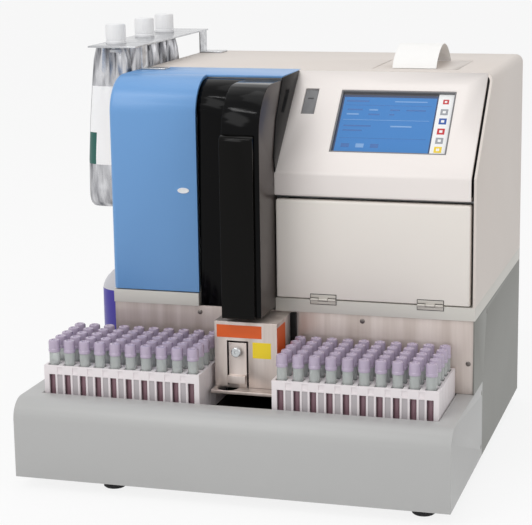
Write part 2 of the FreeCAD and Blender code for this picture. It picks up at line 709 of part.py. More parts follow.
def left_door():
    """The blue door: front and rolled top in one, with a return on its hinge side."""
    wall = "Dims.left_door_wall"
    part = bent_cover("left_door", (LEFT, LEFT_DOOR_END), FACE, f"{SEAM} - Dims.slit", DOOR_BOTTOM,
                      TOP, "Dims.bend_radius", wall, (True, False))
    trim = rectangle(part, "YZ_Plane", f"{LEFT_DOOR_END} + 1",
                     (f"{FACE} + Dims.left_door_return", f"{SEAM} + 1"),
                     (f"{DOOR_BOTTOM} - 1", f"{TOP} - Dims.bend_radius"))
    feature(part, "Pocket", trim, "Dims.left_door_width + 2")
    face_x = size(LEFT)
    soften(part, "Fillet", "6", lambda a, b: abs(a.x - face_x) < 0.01 and abs(b.x - face_x) < 0.01 and
           min(a.z, b.z) > size(DOOR_BOTTOM) - 0.01 and (
               (abs(a.y - size(FACE)) < 0.01 and abs(b.y - size(FACE)) < 0.01) or
               (abs(a.z - size(TOP)) < 0.01 and abs(b.z - size(TOP)) < 0.01) or
               (abs(a.z - b.z) > 1 and abs(a.y - b.y) > 1)))
    bore = part.newObject("PartDesign::SubtractiveCylinder", "PinBore")
    bore.setExpression("Radius", "Dims.pin_radius + Dims.pin_play")
    bore.setExpression("Height", "Dims.pin_length + 1")
    bore.AttachmentSupport = [(origin_item(part, "XY_Plane"), "")]
    bore.MapMode = "FlatFace"
    bore.setExpression("AttachmentOffset.Base.x", PIN_X)
    bore.setExpression("AttachmentOffset.Base.y", PIN_Y)
    bore.setExpression("AttachmentOffset.Base.z", f"{SHELF_TOP} - 1")
    part.Tip = bore
    doc.recompute()

def top_cover():
    """The blue strip of the top behind the left door and the sampler column."""
    part = body("top_cover")
    section = outline(part, "XZ_Plane", f"-({TOP_SEAM} - Dims.slit)", [
        (LEFT, f"{TOP} - Dims.cover_round + Dims.slit"), (LEFT, TOP), (SPLIT, TOP), (SPLIT, INNER_TOP),
        (f"{LEFT} + Dims.cover_round", INNER_TOP),
        (f"{LEFT} + Dims.cover_wall", f"{TOP} - Dims.cover_round + Dims.slit")])
    feature(part, "Pad", section, f"{TOP_SEAM} - Dims.slit - ({SEAM})")
    soften(part, "Fillet", "6", along_y(LEFT, TOP))
    return part


def sampler_column():
    """The black side cover and the column cover, the smoked front cover, and the needle drive."""
    side = bent_cover("column_side_moulding", (f"{LEFT_DOOR_END} + 1", "Dims.column_left - Dims.slit"),
                      SIDE_FACE, SEAM, "Dims.side_panel_bottom", COLUMN_TOP,
                      "Dims.bend_radius - Dims.column_drop", "Dims.column_wall", (True, False),
                      finished=False)
    cover = bent_cover("column_moulding", ("Dims.column_left", COLUMN_RIGHT), COLUMN_FRONT, SEAM,
                       "Dims.column_bottom", COLUMN_TOP, "Dims.column_bend", "Dims.column_wall",
                       (True, True), finished=False)
    # The right cheek stops short of the door and of the sloped panel
    behind = body("behind_cheek", finished=False)
    room = outline(behind, "YZ_Plane", "Dims.panel_left - Dims.column_gap", [
        (f"{FACE} - Dims.column_gap", "0"), (f"{FACE} - Dims.column_gap", FOLD),
        (f"{SLOPE_TOP} - Dims.column_gap", TOP), (BACK, TOP), (BACK, "0")])
    feature(behind, "Pad", room, "Dims.column_wall")
    named(cut(cover, behind), "column_cover")
    fin = body("column_fin", finished=False)
    edge = outline(fin, "YZ_Plane", COLUMN_RIGHT, [
        (f"{FACE} - Dims.fin_lift", FOLD), (f"{SLOPE_TOP} - Dims.fin_lift", TOP),
        (f"{SLOPE_TOP} - 77", f"{TOP} - 1"), (f"{FACE} + 6", f"{FOLD} + 62"),
        (f"{FACE} - 5.5", f"{FOLD} + 20")])
    feature(fin, "Pad", edge, "Dims.fin_wall")
    named(group(side, fin), "column_side_cover")
    bent_cover("column_front_cover", ("Dims.column_left", f"{COLUMN_RIGHT} - 5.5"),
               f"{COLUMN_FRONT} - Dims.front_cover_depth", f"{COLUMN_FRONT} - Dims.slit",
               "Dims.column_bottom", "Dims.front_cover_top", "8", "2", (True, True))
    middle = f"(Dims.column_left + Dims.column_width / 2)"
    mast_back = f"{SEAM}"
    flange_front = f"{COLUMN_FRONT} + 14"
    half = f"(Dims.column_width / 2 - Dims.column_wall - 1)"
    sides = (f"{middle} - {half}", f"{middle} + {half}")
    plate = block(sides, (f"{SEAM} - 4", mast_back), (f"{SHELF_TOP} + 1", f"{COLUMN_TOP} - 6"))
    foot = block(sides, (flange_front, mast_back), (f"{SHELF_TOP} + 1", f"{SHELF_TOP} + 5"))
    head = block(sides, (f"{COLUMN_FRONT} + 40", mast_back), (f"{COLUMN_TOP} - 10", f"{COLUMN_TOP} - 6"))
    needle_y = f"{COLUMN_FRONT} + 30"
    way = bar("z", "4", (middle, needle_y, f"{SHELF_TOP} - 1"), "8")
    guide_y = f"{COLUMN_FRONT} + 60"
    guides = []
    bores = []
    for shift in ("-9", "9"):
        guides.append(bar("z", "Dims.guide_radius", (f"{middle} + {shift}", guide_y, f"{SHELF_TOP} + 5"),
                          f"{COLUMN_TOP} - 10 - ({SHELF_TOP} + 5)"))
        bores.append(bar("z", "(Dims.guide_radius + 0.3) / cos(15)",
                         (f"{middle} + {shift}", guide_y, "0"), "600"))
    named(cut(fuse(plate, foot, head, *guides), way), "sampler_mast")
    carriage_low = "(Dims.carriage_top - Dims.carriage_height)"
    carrier = block((f"{middle} - 14.5", f"{middle} + 14.5"), (f"{COLUMN_FRONT} + 22", f"{guide_y} + 8"),
                    (carriage_low, "Dims.carriage_top"))
    named(cut(carrier, *bores), "needle_carriage")
    needle = bar("z", "Dims.needle_radius", (middle, needle_y, f"{carriage_low} - Dims.needle_length"),
                 "Dims.needle_length")
    named(needle, "sampling_needle")


def sampling_station():
    """The steel box between the rack groups, its hatch, thumbscrew and single-tube port."""
    wall = "Dims.station_wall"
    x = ("-Dims.station_half", "Dims.station_half")
    shell = block(x, (STATION_FRONT, BAY_FACE), ("Dims.station_bottom", "Dims.station_top"))
    hollow = block((f"{x[0]} + {wall}", f"{x[1]} - {wall}"), (f"{STATION_FRONT} + {wall}", f"{BAY_FACE} + 1"),
                   ("Dims.station_bottom - 1", f"Dims.station_top - {wall}"))
    middle = f"(Dims.column_left + Dims.column_width / 2)"
    needle_way = bar("z", "5", (middle, f"{COLUMN_FRONT} + 30", "Dims.station_top - 5"), "10")
    doorway = block(("Dims.hatch_left", "Dims.hatch_left + Dims.hatch_width"),
                    (f"{STATION_FRONT} - 1", f"{STATION_FRONT} + 3"),
                    ("Dims.station_bottom - 1", "Dims.hatch_top"))
    named(cut(shell, hollow, needle_way, doorway), "sampling_station")
    port_top = "(Dims.station_bottom - Dims.slit)"
    port_front = f"({FRONT} + Dims.tube_port_setback)"
    port_plate = block((x[0], x[1]), (port_front, BAY_FACE), (f"{port_top} - 4", port_top))
    port_hole = bar("z", "Dims.tube_port_radius", ("-22", f"{port_front} + Dims.tube_port_inset", "100"),
                    "30", "16")
    needle_port = bar("z", "9", (middle, f"{COLUMN_FRONT} + 30", "100"), "30")
    named(cut(port_plate, port_hole, needle_port), "tube_port_plate")
    # Black sheet lines the racks' lane, and a black rail stands on the bay plate beside the station
    lane = ("-Dims.lane_half", "Dims.lane_half")
    lane_floor = block(lane, (f"{FRONT} + Dims.rim_front + Dims.slit", BAY_FACE),
                       (DECK, f"{DECK} + Dims.lane_sheet"))
    lane_back = block(lane, (f"{BAY_FACE} - Dims.lane_sheet", BAY_FACE), (DECK, f"{port_top} - 4.5"))
    lane_notch = block(x, (f"{BAY_FACE} - 2", f"{BAY_FACE} + 1"), (f"{port_top} - 4 - Dims.slit", "200"))
    lining = cut(fuse(lane_floor, lane_back), lane_notch)
    rail = block(("Dims.station_half + Dims.slit", "Dims.station_half + Dims.slit + Dims.rail_width"),
                 (f"{BAY_FACE} - Dims.rail_depth", BAY_FACE), (f"{port_top} - 4", "Dims.station_top"))
    named(group(lining, rail), "lane_lining")
    slack = "Dims.hatch_cut"
    hatch_x = (f"Dims.hatch_left + {slack}", f"Dims.hatch_left + Dims.hatch_width - {slack}")
    plate = block(hatch_x, (STATION_FRONT, f"{STATION_FRONT} + {wall}"),
                  (port_top, f"Dims.hatch_top - {slack}"))
    ledge = block(hatch_x, (f"{STATION_FRONT} - 7", f"{STATION_FRONT} + {wall}"),
                  ("Dims.hatch_bottom + 12", "Dims.hatch_bottom + 13.5"))
    lip = block(hatch_x, (f"{STATION_FRONT} - 7", f"{STATION_FRONT} - 5.5"),
                ("Dims.hatch_bottom + 4", "Dims.hatch_bottom + 13.5"))
    named(fuse(plate, ledge, lip), "station_hatch")
    knob_x = "(Dims.hatch_left + Dims.hatch_width / 2)"
    knob = bar("y", "Dims.knob_radius", (knob_x, f"{STATION_FRONT} - 8", "Dims.knob_height"), "6", "16")
    collar = bar("y", "Dims.knob_radius * 0.6", (knob_x, f"{STATION_FRONT} - 2", "Dims.knob_height"), "2")
    named(fuse(knob, collar), "hatch_thumbscrew")


def rack(label, left, front):
    """One moulded rack: ten square cells with a window on each place."""
    part = body(label)
    base = rectangle(part, "XY_Plane", "0", ("0", "Dims.rack_length"), ("0", "Dims.rack_width"))
    feature(part, "Pad", base, "Dims.rack_height")
    first = "((Dims.rack_length - (Dims.rack_places - 1) * Dims.place_pitch) / 2)"
    wall = "((Dims.rack_width - Dims.cell_side) / 2)"
    cell = rectangle(part, "XY_Plane", "Dims.rack_height",
                     (f"{first} - Dims.cell_side / 2", f"{first} + Dims.cell_side / 2"),
                     (wall, f"Dims.rack_width - {wall}"))
    cells = feature(part, "Pocket", cell, "Dims.rack_height - Dims.cell_floor")
    repeat(part, cells, "X_Axis", "Dims.place_pitch", "Dims.rack_places")
    window = rectangle(part, "XZ_Plane", "0",
                       (f"{first} - Dims.window_width / 2", f"{first} + Dims.window_width / 2"),
                       ("Dims.cell_floor + 1", "Dims.window_top"))
    windows = feature(part, "Pocket", window, f"{wall} + 0.5")
    repeat(part, windows, "X_Axis", "Dims.place_pitch", "Dims.rack_places")
    return bind(part, x=left, y=front, z=DECK)


def prism_rows(radius, height, left, bottom, sides):
    """Upright prisms in the cells of one group of racks."""
    part = body("rows", finished=False)
    part.AllowCompound = True
    prism = part.newObject("PartDesign::AdditivePrism", "Prism")
    prism.Polygon = sides
    prism.setExpression("Circumradius", radius)
    prism.setExpression("Height", height)
    rows = part.newObject("PartDesign::MultiTransform", "Rows")
    rows.Originals = [prism]
    moves = []
    for axis, pitch, count in (("X_Axis", "Dims.place_pitch", "Dims.rack_places"),
                               ("Y_Axis", "Dims.rack_pitch", "Dims.rack_count")):
        row = part.newObject("PartDesign::LinearPattern", "Row")
        row.Direction = (origin_item(part, axis), [""])
        row.Mode = "Spacing"
        row.setExpression("Offset", pitch)
        row.setExpression("Occurrences", count)
        moves.append(row)
    rows.Transformations = moves
    part.Tip = rows
    doc.recompute()
    first = "((Dims.rack_length - (Dims.rack_places - 1) * Dims.place_pitch) / 2)"
    return bind(part, x=f"{left} + {first}", z=bottom,
                y=f"{FRONT} + Dims.rack_setback + Dims.rack_width / 2")


def racks_and_tubes():
    """Five racks on each side of the station, each with ten stoppered tubes."""
    groups = {"left": "(-Dims.rack_offset - Dims.rack_length)", "right": "Dims.rack_offset"}
    tube_bottom = f"{DECK} + Dims.cell_floor"
    tubes = []
    stoppers = []
    for side, left in groups.items():
        for number in range(int(size("Dims.rack_count"))):
            front = f"{FRONT} + Dims.rack_setback + {number} * Dims.rack_pitch"
            rack(f"rack_{side}_{number + 1}", left, front)
        tubes.append(prism_rows("Dims.tube_radius", "Dims.tube_length", left, tube_bottom, 6))
        stoppers.append(prism_rows("Dims.stopper_radius", "Dims.stopper_height", left,
                                   f"{tube_bottom} + Dims.tube_length", 6))
    named(group(*tubes), "sample_tubes")
    named(group(*stoppers), "tube_stoppers")


def printer():
    """The printer lid in the top, the paper roll under it and the strip of paper over it."""
    play = "Dims.lid_gap"
    lid_y = (f"{FRONT} + Dims.printer_setback + {play}",
             f"{FRONT} + Dims.printer_setback + Dims.printer_depth - {play}")
    lid = block((f"Dims.printer_left + {play}", f"Dims.printer_left + Dims.printer_width - {play}"),
                lid_y, (f"{TOP} - Dims.lid_wall", TOP))
    slot_y = f"({FRONT} + Dims.paper_slot_setback)"
    slot = block(("Dims.paper_left - 6", "Dims.paper_left + Dims.paper_width + 6"),
                 (f"{slot_y} - 1", f"{slot_y} + 1.6"), (f"{TOP} - 10", f"{TOP} + 1"))
    named(cut(lid, slot), "printer_lid")
    roll_z = f"{INNER_TOP} - Dims.printer_well + Dims.roll_radius + Dims.slit"
    roll = bar("x", "Dims.roll_radius", ("Dims.paper_left", f"{FRONT} + Dims.printer_setback + 60", roll_z),
               "Dims.paper_width", "20")
    core = bar("x", "6", ("Dims.paper_left - 1", f"{FRONT} + Dims.printer_setback + 60", roll_z),
               "Dims.paper_width + 2")
    named(cut(roll, core), "paper_roll")
    strip = body("paper_strip")
    steps = 8
    upper = []
    lower = []
    thick = "Dims.paper_thickness"
    for step in range(steps + 1):
        share = step / steps
        wave = f"sin({180 * share} deg)"
        upper.append((f"{slot_y} + Dims.paper_reach * {share}",
                      f"{TOP} + Dims.slit + {thick} + Dims.paper_rise * {wave}"))
        lower.append((f"{slot_y} + {thick} + (Dims.paper_reach - 2 * {thick}) * {share}",
                      f"{TOP} + Dims.slit + Dims.paper_rise * {wave}"))
    tail = [(f"{slot_y} + {thick}", f"{TOP} - 2"), (slot_y, f"{TOP} - 2")]
    lower.reverse()
    section = outline(strip, "YZ_Plane", "Dims.paper_left", upper + lower + tail)
    feature(strip, "Pad", section, "Dims.paper_width")


POUCH_FIRST = f"{FRONT} + Dims.pouch_setback"
POUCH_PLACES = (POUCH_FIRST, f"{POUCH_FIRST} + Dims.pouch_step_1",
                f"{POUCH_FIRST} + Dims.pouch_step_1 + Dims.pouch_step_2")
NECK_X = f"({POUCH_X} + Dims.neck_shift)"


def pouch_bracket():
    """The folded steel bracket on the top: a plate with three holes on two legs."""
    holes = []
    plate_x = (f"{POUCH_X} - Dims.plate_overhang / 2 + 4", f"{LEFT} + Dims.cover_round + 2")
    plate = block(plate_x, (f"{FRONT} + Dims.plate_setback",
                            f"{FRONT} + Dims.plate_setback + Dims.plate_length"),
                  ("Dims.plate_height", "Dims.plate_height + Dims.plate_thickness"))
    legs = []
    for start, width in (("Dims.front_leg", "Dims.front_leg_width"),
                         ("Dims.rear_leg", "Dims.rear_leg_width")):
        leg_y = (f"{FRONT} + {start}", f"{FRONT} + {start} + {width}")
        legs.append(block((f"{LEFT} + Dims.cover_round", f"{LEFT} + Dims.cover_round + 2"), leg_y,
                          (TOP, "Dims.plate_height + 1")))
        legs.append(block((f"{LEFT} + Dims.cover_round", f"{LEFT} + Dims.cover_round + 32"), leg_y,
                          (TOP, f"{TOP} + 2")))
    for number in range(3):
        holes.append(bar("z", "(Dims.neck_radius + Dims.slit) / cos(11.25)",
                         (NECK_X, POUCH_PLACES[number], "Dims.plate_height - 5"), "12", "16"))
    named(cut(fuse(plate, *legs), *holes), "pouch_bracket")


POUCH_LOW = "(Dims.plate_height - 3 - Dims.pouch_height)"
POUCH_WIDTHS = ((0, 0.88), (0.05, 1), (0.3, 0.98), (0.7, 0.84), (1, 0.62))
POUCH_DEPTHS = ((0, 0.55), (0.06, 0.92), (0.14, 1), (0.6, 0.7), (1, 0.36))


def pouches():
    """Three hanging foil pouches: a front outline and a side outline in common, and a neck."""
    caps = []
    for number in range(3):
        sides = []
        for plane, half, shares in (("XZ_Plane", "Dims.pouch_half", POUCH_WIDTHS),
                                    ("YZ_Plane", "Dims.pouch_depth / 2", POUCH_DEPTHS)):
            part = body("pouch_outline", finished=False)
            right = [(f"{half} * {wide}", f"Dims.pouch_height * {share}") for share, wide in shares]
            left = [(f"-{half} * {wide}", f"Dims.pouch_height * {share}") for share, wide in shares]
            left.reverse()
            section = outline(part, plane, "-Dims.pouch_half - 1", right + left)
            feature(part, "Pad", section, "2 * Dims.pouch_half + 2")
            sides.append(part)
        bag = doc.addObject("Part::Common", "Bag")
        bag.Base, bag.Tool = sides
        neck = bar("z", "Dims.neck_radius", ("Dims.neck_shift", "0", "Dims.pouch_height - 5"),
                   "Dims.plate_height + Dims.plate_thickness - Dims.pouch_height + 5 - "
                   f"{POUCH_LOW}", "16")
        pouch = named(fuse(bag, neck), f"reagent_pouch_{number + 1}")
        bind(pouch, x=POUCH_X, y=POUCH_PLACES[number], z=POUCH_LOW)
        caps.append(bar("z", "Dims.cap_radius",
                        (NECK_X, POUCH_PLACES[number], "Dims.plate_height + Dims.plate_thickness"),
                        "Dims.cap_height", "20"))
    named(group(*caps), "pouch_caps")


def wash_bottle():
    """The round wash bottle in the left recess, on a shelf with a raised edge."""
    shelf_top = "(Dims.bottle_shelf + 2)"
    y = (f"{FRONT} + Dims.wing_setback", f"{FRONT} + Dims.bottle_setback + Dims.bottle_radius + 6")
    tray = block((f"-{RIGHT}", LEFT), y, ("Dims.bottle_shelf", f"{shelf_top} + 10"))
    hollow = block((f"-{RIGHT} + 2", f"{LEFT} - 0"), (f"{y[0]} + 2", f"{y[1]} - 2"), (shelf_top, "60"))
    named(cut(tray, hollow), "bottle_shelf")
    place = (BOTTLE_X, f"{FRONT} + Dims.bottle_setback")
    neck_top = "(Dims.bottle_height - Dims.bottle_cap_height)"
    flat = "Dims.bottle_radius * cos(15)"
    neck = "Dims.bottle_neck * cos(15)"
    profile = ((f"{flat} - 3", "0"), (flat, "3"), (flat, f"{neck_top} - 44"), (f"{flat} - 6", f"{neck_top} - 26"),
               (neck, f"{neck_top} - 12"), (neck, neck_top))
    # The same outline turned six times: what all six share is a twelve-sided bottle
    turns = []
    for step in range(6):
        part = body("bottle_outline", finished=False)
        right = [(u, v) for u, v in profile]
        left = [(f"-({u})", v) for u, v in profile]
        left.reverse()
        section = outline(part, "XZ_Plane", "-Dims.bottle_radius - 1", right + left)
        feature(part, "Pad", section, "2 * Dims.bottle_radius + 2")
        part.Placement = FreeCAD.Placement(FreeCAD.Vector(), FreeCAD.Rotation(FreeCAD.Vector(0, 0, 1),
                                                                              step * 30))
        turns.append(part)
    bottle = doc.addObject("Part::MultiCommon", "Bottle")
    bottle.Shapes = turns
    bottle.Refine = True
    named(bind(bottle, x=place[0], y=place[1], z=shelf_top), "wash_bottle")
    cap = bar("z", "Dims.bottle_neck + 2.5", (place[0], place[1], f"{shelf_top} + {neck_top}"),
              "Dims.bottle_cap_height", "20")
    named(cap, "bottle_cap")


def power_module():
    """The inlet and the rocker switch, side by side in one moulding in the rear sheet."""
    play = "Dims.slit"
    outer_x = (f"Dims.module_left + {play}", f"Dims.module_left + Dims.module_width - {play}")
    outer_z = (f"Dims.module_bottom + {play}", f"Dims.module_bottom + Dims.module_height - {play}")
    whole = block(outer_x, (f"{INNER_BACK} - Dims.module_depth", BACK), outer_z)
    middle_z = "(Dims.module_bottom + Dims.module_height / 2)"
    inlet_left = "(Dims.module_left + Dims.module_edge)"
    inlet = block((inlet_left, f"{inlet_left} + Dims.inlet_width"),
                  (f"{BACK} - Dims.inlet_depth", f"{BACK} + 1"),
                  (f"{middle_z} - Dims.inlet_height / 2", f"{middle_z} + Dims.inlet_height / 2"))
    rocker_left = "(Dims.module_left + Dims.module_width - Dims.module_edge - Dims.rocker_width)"
    room = block((f"{rocker_left} - {play}", f"{rocker_left} + Dims.rocker_width + {play}"),
                 (f"{INNER_BACK} - Dims.module_depth + 1.5", f"{BACK} + 1"),
                 (f"{middle_z} - Dims.rocker_length / 2 - {play}",
                  f"{middle_z} + Dims.rocker_length / 2 + {play}"))
    named(cut(whole, inlet, room), "power_module")
    # The rocker is seen with its upper end pressed in; it turns about its middle
    rocker = doc.addObject("Part::Box", "Rocker")
    rocker.setExpression("Placement.Rotation.Axis.x", "1")
    rocker.setExpression("Placement.Rotation.Axis.z", "0")
    rocker.setExpression("Placement.Rotation.Angle", "Dims.rocker_tilt")
    turn = "Dims.rocker_tilt * 1 deg"
    half = "Dims.rocker_length / 2"
    bind(rocker, x=rocker_left,
         y=f"{BACK} + Dims.rocker_stand - Dims.rocker_thick * cos({turn}) + {half} * sin({turn})",
         z=f"{middle_z} - Dims.rocker_thick * sin({turn}) - {half} * cos({turn})",
         Length="Dims.rocker_width", Width="Dims.rocker_thick", Height="Dims.rocker_length")
    named(rocker, "power_rocker")


def inner_parts():
    """What the two compartments hold: the column oven with its column, and the pump."""
    wall_y = f"({SEAM} + Dims.slit)"
    oven_front = f"({wall_y} - Dims.oven_depth)"
    oven_x = (f"{LEFT} + Dims.oven_inset", f"{LEFT} + Dims.oven_inset + Dims.oven_width")
    oven = block(oven_x, (oven_front, wall_y),
                 ("Dims.oven_bottom", "Dims.oven_bottom + Dims.oven_height"))
    named(oven, "column_oven")
    column_x = f"({LEFT} + Dims.oven_inset + Dims.oven_width / 2)"
    column = bar("z", "Dims.separator_radius",
                 (column_x, f"{oven_front} - Dims.separator_radius", "Dims.oven_bottom + Dims.slit"),
                 "Dims.separator_length")
    named(column, "analytical_column")
    pump_front = f"({wall_y} - Dims.pump_depth)"
    pump_x = ("Dims.pump_left", "Dims.pump_left + Dims.pump_width")
    pump = block(pump_x, (pump_front, wall_y), (SHELF_TOP, f"{SHELF_TOP} + Dims.pump_height"))
    heads = [bar("y", "Dims.head_radius", (f"Dims.pump_left + Dims.pump_width * {share}",
                 f"{pump_front} - Dims.head_length", f"{SHELF_TOP} + Dims.pump_height / 2"),
                 "Dims.head_length + 1") for share in (0.27, 0.73)]
    named(fuse(pump, *heads), "pump_unit")


def screws():
    """Screw heads: three on the bay's back plate, and three let into the right side."""
    heads = [bar("y", "Dims.screw_radius", (x, f"{BAY_FACE} - Dims.screw_head", z), "Dims.screw_head")
             for x, z in BAY_SCREWS]
    for y, z in (*WING_SCREWS, SIDE_SCREW):
        heads.append(bar("x", "Dims.screw_radius", (f"{RIGHT} - Dims.screw_head", y, z),
                         "Dims.screw_head"))
    named(group(*heads), "cover_screws")


loader_base()
rack_floor()
feet()
lower_body()
instrument_shelf()
upper_housing()
inner_frame()
rear_panel()
operator_panel()
screen_parts()
lower_door()
door_hinges()
left_door()
top_cover()
sampler_column()
sampling_station()
racks_and_tubes()
printer()
pouch_bracket()
pouches()
wash_bottle()
power_module()
inner_parts()
screws()
doc.recompute()

for item in doc.Objects:
    if "Invalid" in item.State or "Error" in item.State:
        raise RuntimeError(f"{item.Label} did not build: {item.State}")
for label, item in pieces.items():
    if item.Shape.isNull() or not item.Shape.isValid():
        raise RuntimeError(f"{label} has no valid shape")

os.makedirs("parts", exist_ok=True)
for label, item in pieces.items():
    item.Shape.exportStep(f"parts/{label}.step")
print(len(pieces), "pieces,", sum(len(item.Shape.Solids) for item in pieces.values()), "solids")
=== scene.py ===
# %% [markdown]
# # A bench-top glycohemoglobin analyzer, dressed around its CAD frame
# The machine stands on a bench: a light rack loader in front, a rounded beige
# body with a sloped screen panel, a blue door, a gloss black sampler column
# between them, and reagent pouches on a bracket at the left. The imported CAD
# model gives every place and size, so this lesson only adds what a solid model
# leaves out: softened edges, moulded grain, brushed steel, foil and glass.

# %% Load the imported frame
import json
import math

import bmesh
import bpy
import numpy as np
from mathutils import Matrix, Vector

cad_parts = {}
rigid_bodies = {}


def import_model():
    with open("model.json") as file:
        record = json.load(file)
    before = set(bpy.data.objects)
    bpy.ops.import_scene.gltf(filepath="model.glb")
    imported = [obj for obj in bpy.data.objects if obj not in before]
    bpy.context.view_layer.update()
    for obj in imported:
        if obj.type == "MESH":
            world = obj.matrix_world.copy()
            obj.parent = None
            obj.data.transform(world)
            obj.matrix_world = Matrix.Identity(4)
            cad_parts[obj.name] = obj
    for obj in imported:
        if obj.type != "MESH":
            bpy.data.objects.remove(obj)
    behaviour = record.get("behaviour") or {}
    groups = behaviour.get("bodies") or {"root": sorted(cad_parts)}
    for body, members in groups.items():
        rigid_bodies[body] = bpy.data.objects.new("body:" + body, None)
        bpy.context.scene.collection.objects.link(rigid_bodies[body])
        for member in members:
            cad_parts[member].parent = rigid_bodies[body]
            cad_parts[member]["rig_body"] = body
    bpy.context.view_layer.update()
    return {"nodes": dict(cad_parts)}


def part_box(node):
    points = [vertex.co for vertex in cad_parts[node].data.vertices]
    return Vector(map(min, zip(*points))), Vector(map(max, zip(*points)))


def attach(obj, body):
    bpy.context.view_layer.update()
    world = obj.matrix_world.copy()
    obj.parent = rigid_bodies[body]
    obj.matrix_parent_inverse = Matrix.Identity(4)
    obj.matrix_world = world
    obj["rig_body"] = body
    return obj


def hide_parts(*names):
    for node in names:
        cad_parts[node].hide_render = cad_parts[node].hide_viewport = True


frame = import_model()

# %% [markdown]
# ## Camera
# The viewpoint was worked out from edges of known size: a long lens, a little
# above the machine and to its right. Its three axes are built from yaw, pitch
# and roll, and they become the columns of the camera's rotation.

# %% Camera
MM = 0.001
CAMERA_PLACE = (586.43, -2045.23, 697.07)
CAMERA_YAW, CAMERA_PITCH, CAMERA_ROLL = 0.28965, 0.21278, -0.01435
LENS, SENSOR = 115.35, 36.0


def camera_axes(yaw, pitch, roll):
    """Right, up and forward: a level heading, tipped down by pitch, then rolled."""
    ahead = np.array([-math.sin(yaw), math.cos(yaw), 0.0])
    right = np.array([math.cos(yaw), math.sin(yaw), 0.0])
    up = np.array([0.0, 0.0, 1.0])
    forward = ahead * math.cos(pitch) - up * math.sin(pitch)
    above = up * math.cos(pitch) + ahead * math.sin(pitch)
    tilted_right = right * math.cos(roll) + above * math.sin(roll)
    tilted_up = above * math.cos(roll) - right * math.sin(roll)
    return tilted_right, tilted_up, forward


lens = bpy.data.cameras.new("view")
lens.lens, lens.sensor_width = LENS, SENSOR
lens.clip_start, lens.clip_end = 0.05, 200
camera = bpy.data.objects.new("view", lens)
bpy.context.scene.collection.objects.link(camera)
right, up, forward = camera_axes(CAMERA_YAW, CAMERA_PITCH, CAMERA_ROLL)
turn = np.eye(4)
turn[:3, 0], turn[:3, 1], turn[:3, 2] = right, up, -forward
turn[:3, 3] = np.array(CAMERA_PLACE) * MM
camera.matrix_world = turn.T.tolist()
bpy.context.scene.camera = camera
bpy.context.scene.view_settings.view_transform = "Standard"
print("camera at", CAMERA_PLACE, "lens", LENS)

# %% [markdown]
# ## Shared shader groups
# Real finishes are never one flat value. Four small node groups are built once
# and placed in every material with its own numbers: a fine moulded grain, a slow
# drift of colour, long brushed streaks and faint handling patches. All of them
# read Object coordinates in metres, so a scale of 1000 means millimetres.

# %% Shader groups


def new_group(name, inputs, outputs):
    """An empty node group with named sockets, and its two end nodes."""
    group = bpy.data.node_groups.new(name, "ShaderNodeTree")
    for label, kind, value in inputs:
        socket = group.interface.new_socket(label, in_out="INPUT", socket_type=kind)
        socket.default_value = value
    for label, kind in outputs:
        group.interface.new_socket(label, in_out="OUTPUT", socket_type=kind)
    return group, group.nodes.new("NodeGroupInput"), group.nodes.new("NodeGroupOutput")


def noise_on_object(group, stretch=None):
    """A noise texture on Object coordinates, stretched where a vector is given."""
    where = group.nodes.new("ShaderNodeTexCoord").outputs["Object"]
    noise = group.nodes.new("ShaderNodeTexNoise")
    if stretch is not None:
        pull = group.nodes.new("ShaderNodeVectorMath")
        pull.operation = "MULTIPLY"
        group.links.new(where, pull.inputs[0])
        group.links.new(stretch, pull.inputs[1])
        where = pull.outputs[0]
    group.links.new(where, noise.inputs["Vector"])
    return noise


def arithmetic(tree, operation, *values):
    """The output of a Math node: a number is set on its input, a socket is linked to it."""
    node = tree.nodes.new("ShaderNodeMath")
    node.operation = operation
    for place, value in enumerate(values):
        if isinstance(value, float):
            node.inputs[place].default_value = value
        else:
            tree.links.new(value, node.inputs[place])
    return node.outputs[0]


def grain_group():
    """Height = noise of a given scale: the fine texture of a moulded surface."""
    group, start, end = new_group("moulded grain", [("Scale", "NodeSocketFloat", 2000.0)],
                                  [("Height", "NodeSocketFloat")])
    noise = noise_on_object(group)
    noise.inputs["Detail"].default_value = 2.0
    group.links.new(start.outputs["Scale"], noise.inputs["Scale"])
    group.links.new(noise.outputs["Fac"], end.inputs["Height"])
    return group


def drift_group():
    """Colour times 1 + (noise - 0.5) x 2 x amount: a slow change over the surface."""
    group, start, end = new_group(
        "colour drift",
        [("Colour", "NodeSocketColor", (0.5, 0.5, 0.5, 1)), ("Scale", "NodeSocketFloat", 8.0),
         ("Amount", "NodeSocketFloat", 0.03)],
        [("Colour", "NodeSocketColor")])
    noise = noise_on_object(group)
    centred = arithmetic(group, "MULTIPLY_ADD", noise.outputs["Fac"], 2.0, -1.0)
    spread = arithmetic(group, "MULTIPLY_ADD", centred, start.outputs["Amount"], 1.0)
    shade = group.nodes.new("ShaderNodeHueSaturation")
    group.links.new(start.outputs["Scale"], noise.inputs["Scale"])
    group.links.new(spread, shade.inputs["Value"])
    group.links.new(start.outputs["Colour"], shade.inputs["Color"])
    group.links.new(shade.outputs["Color"], end.inputs["Colour"])
    return group


def streak_group():
    """Streak = noise pulled out along the axis whose stretch is smallest."""
    group, start, end = new_group("brushed streaks",
                                  [("Stretch", "NodeSocketVector", (60.0, 60.0, 2.0))],
                                  [("Streak", "NodeSocketFloat")])
    noise = noise_on_object(group, start.outputs["Stretch"])
    noise.inputs["Scale"].default_value = 1.0
    noise.inputs["Detail"].default_value = 4.0
    group.links.new(noise.outputs["Fac"], end.inputs["Streak"])
    return group


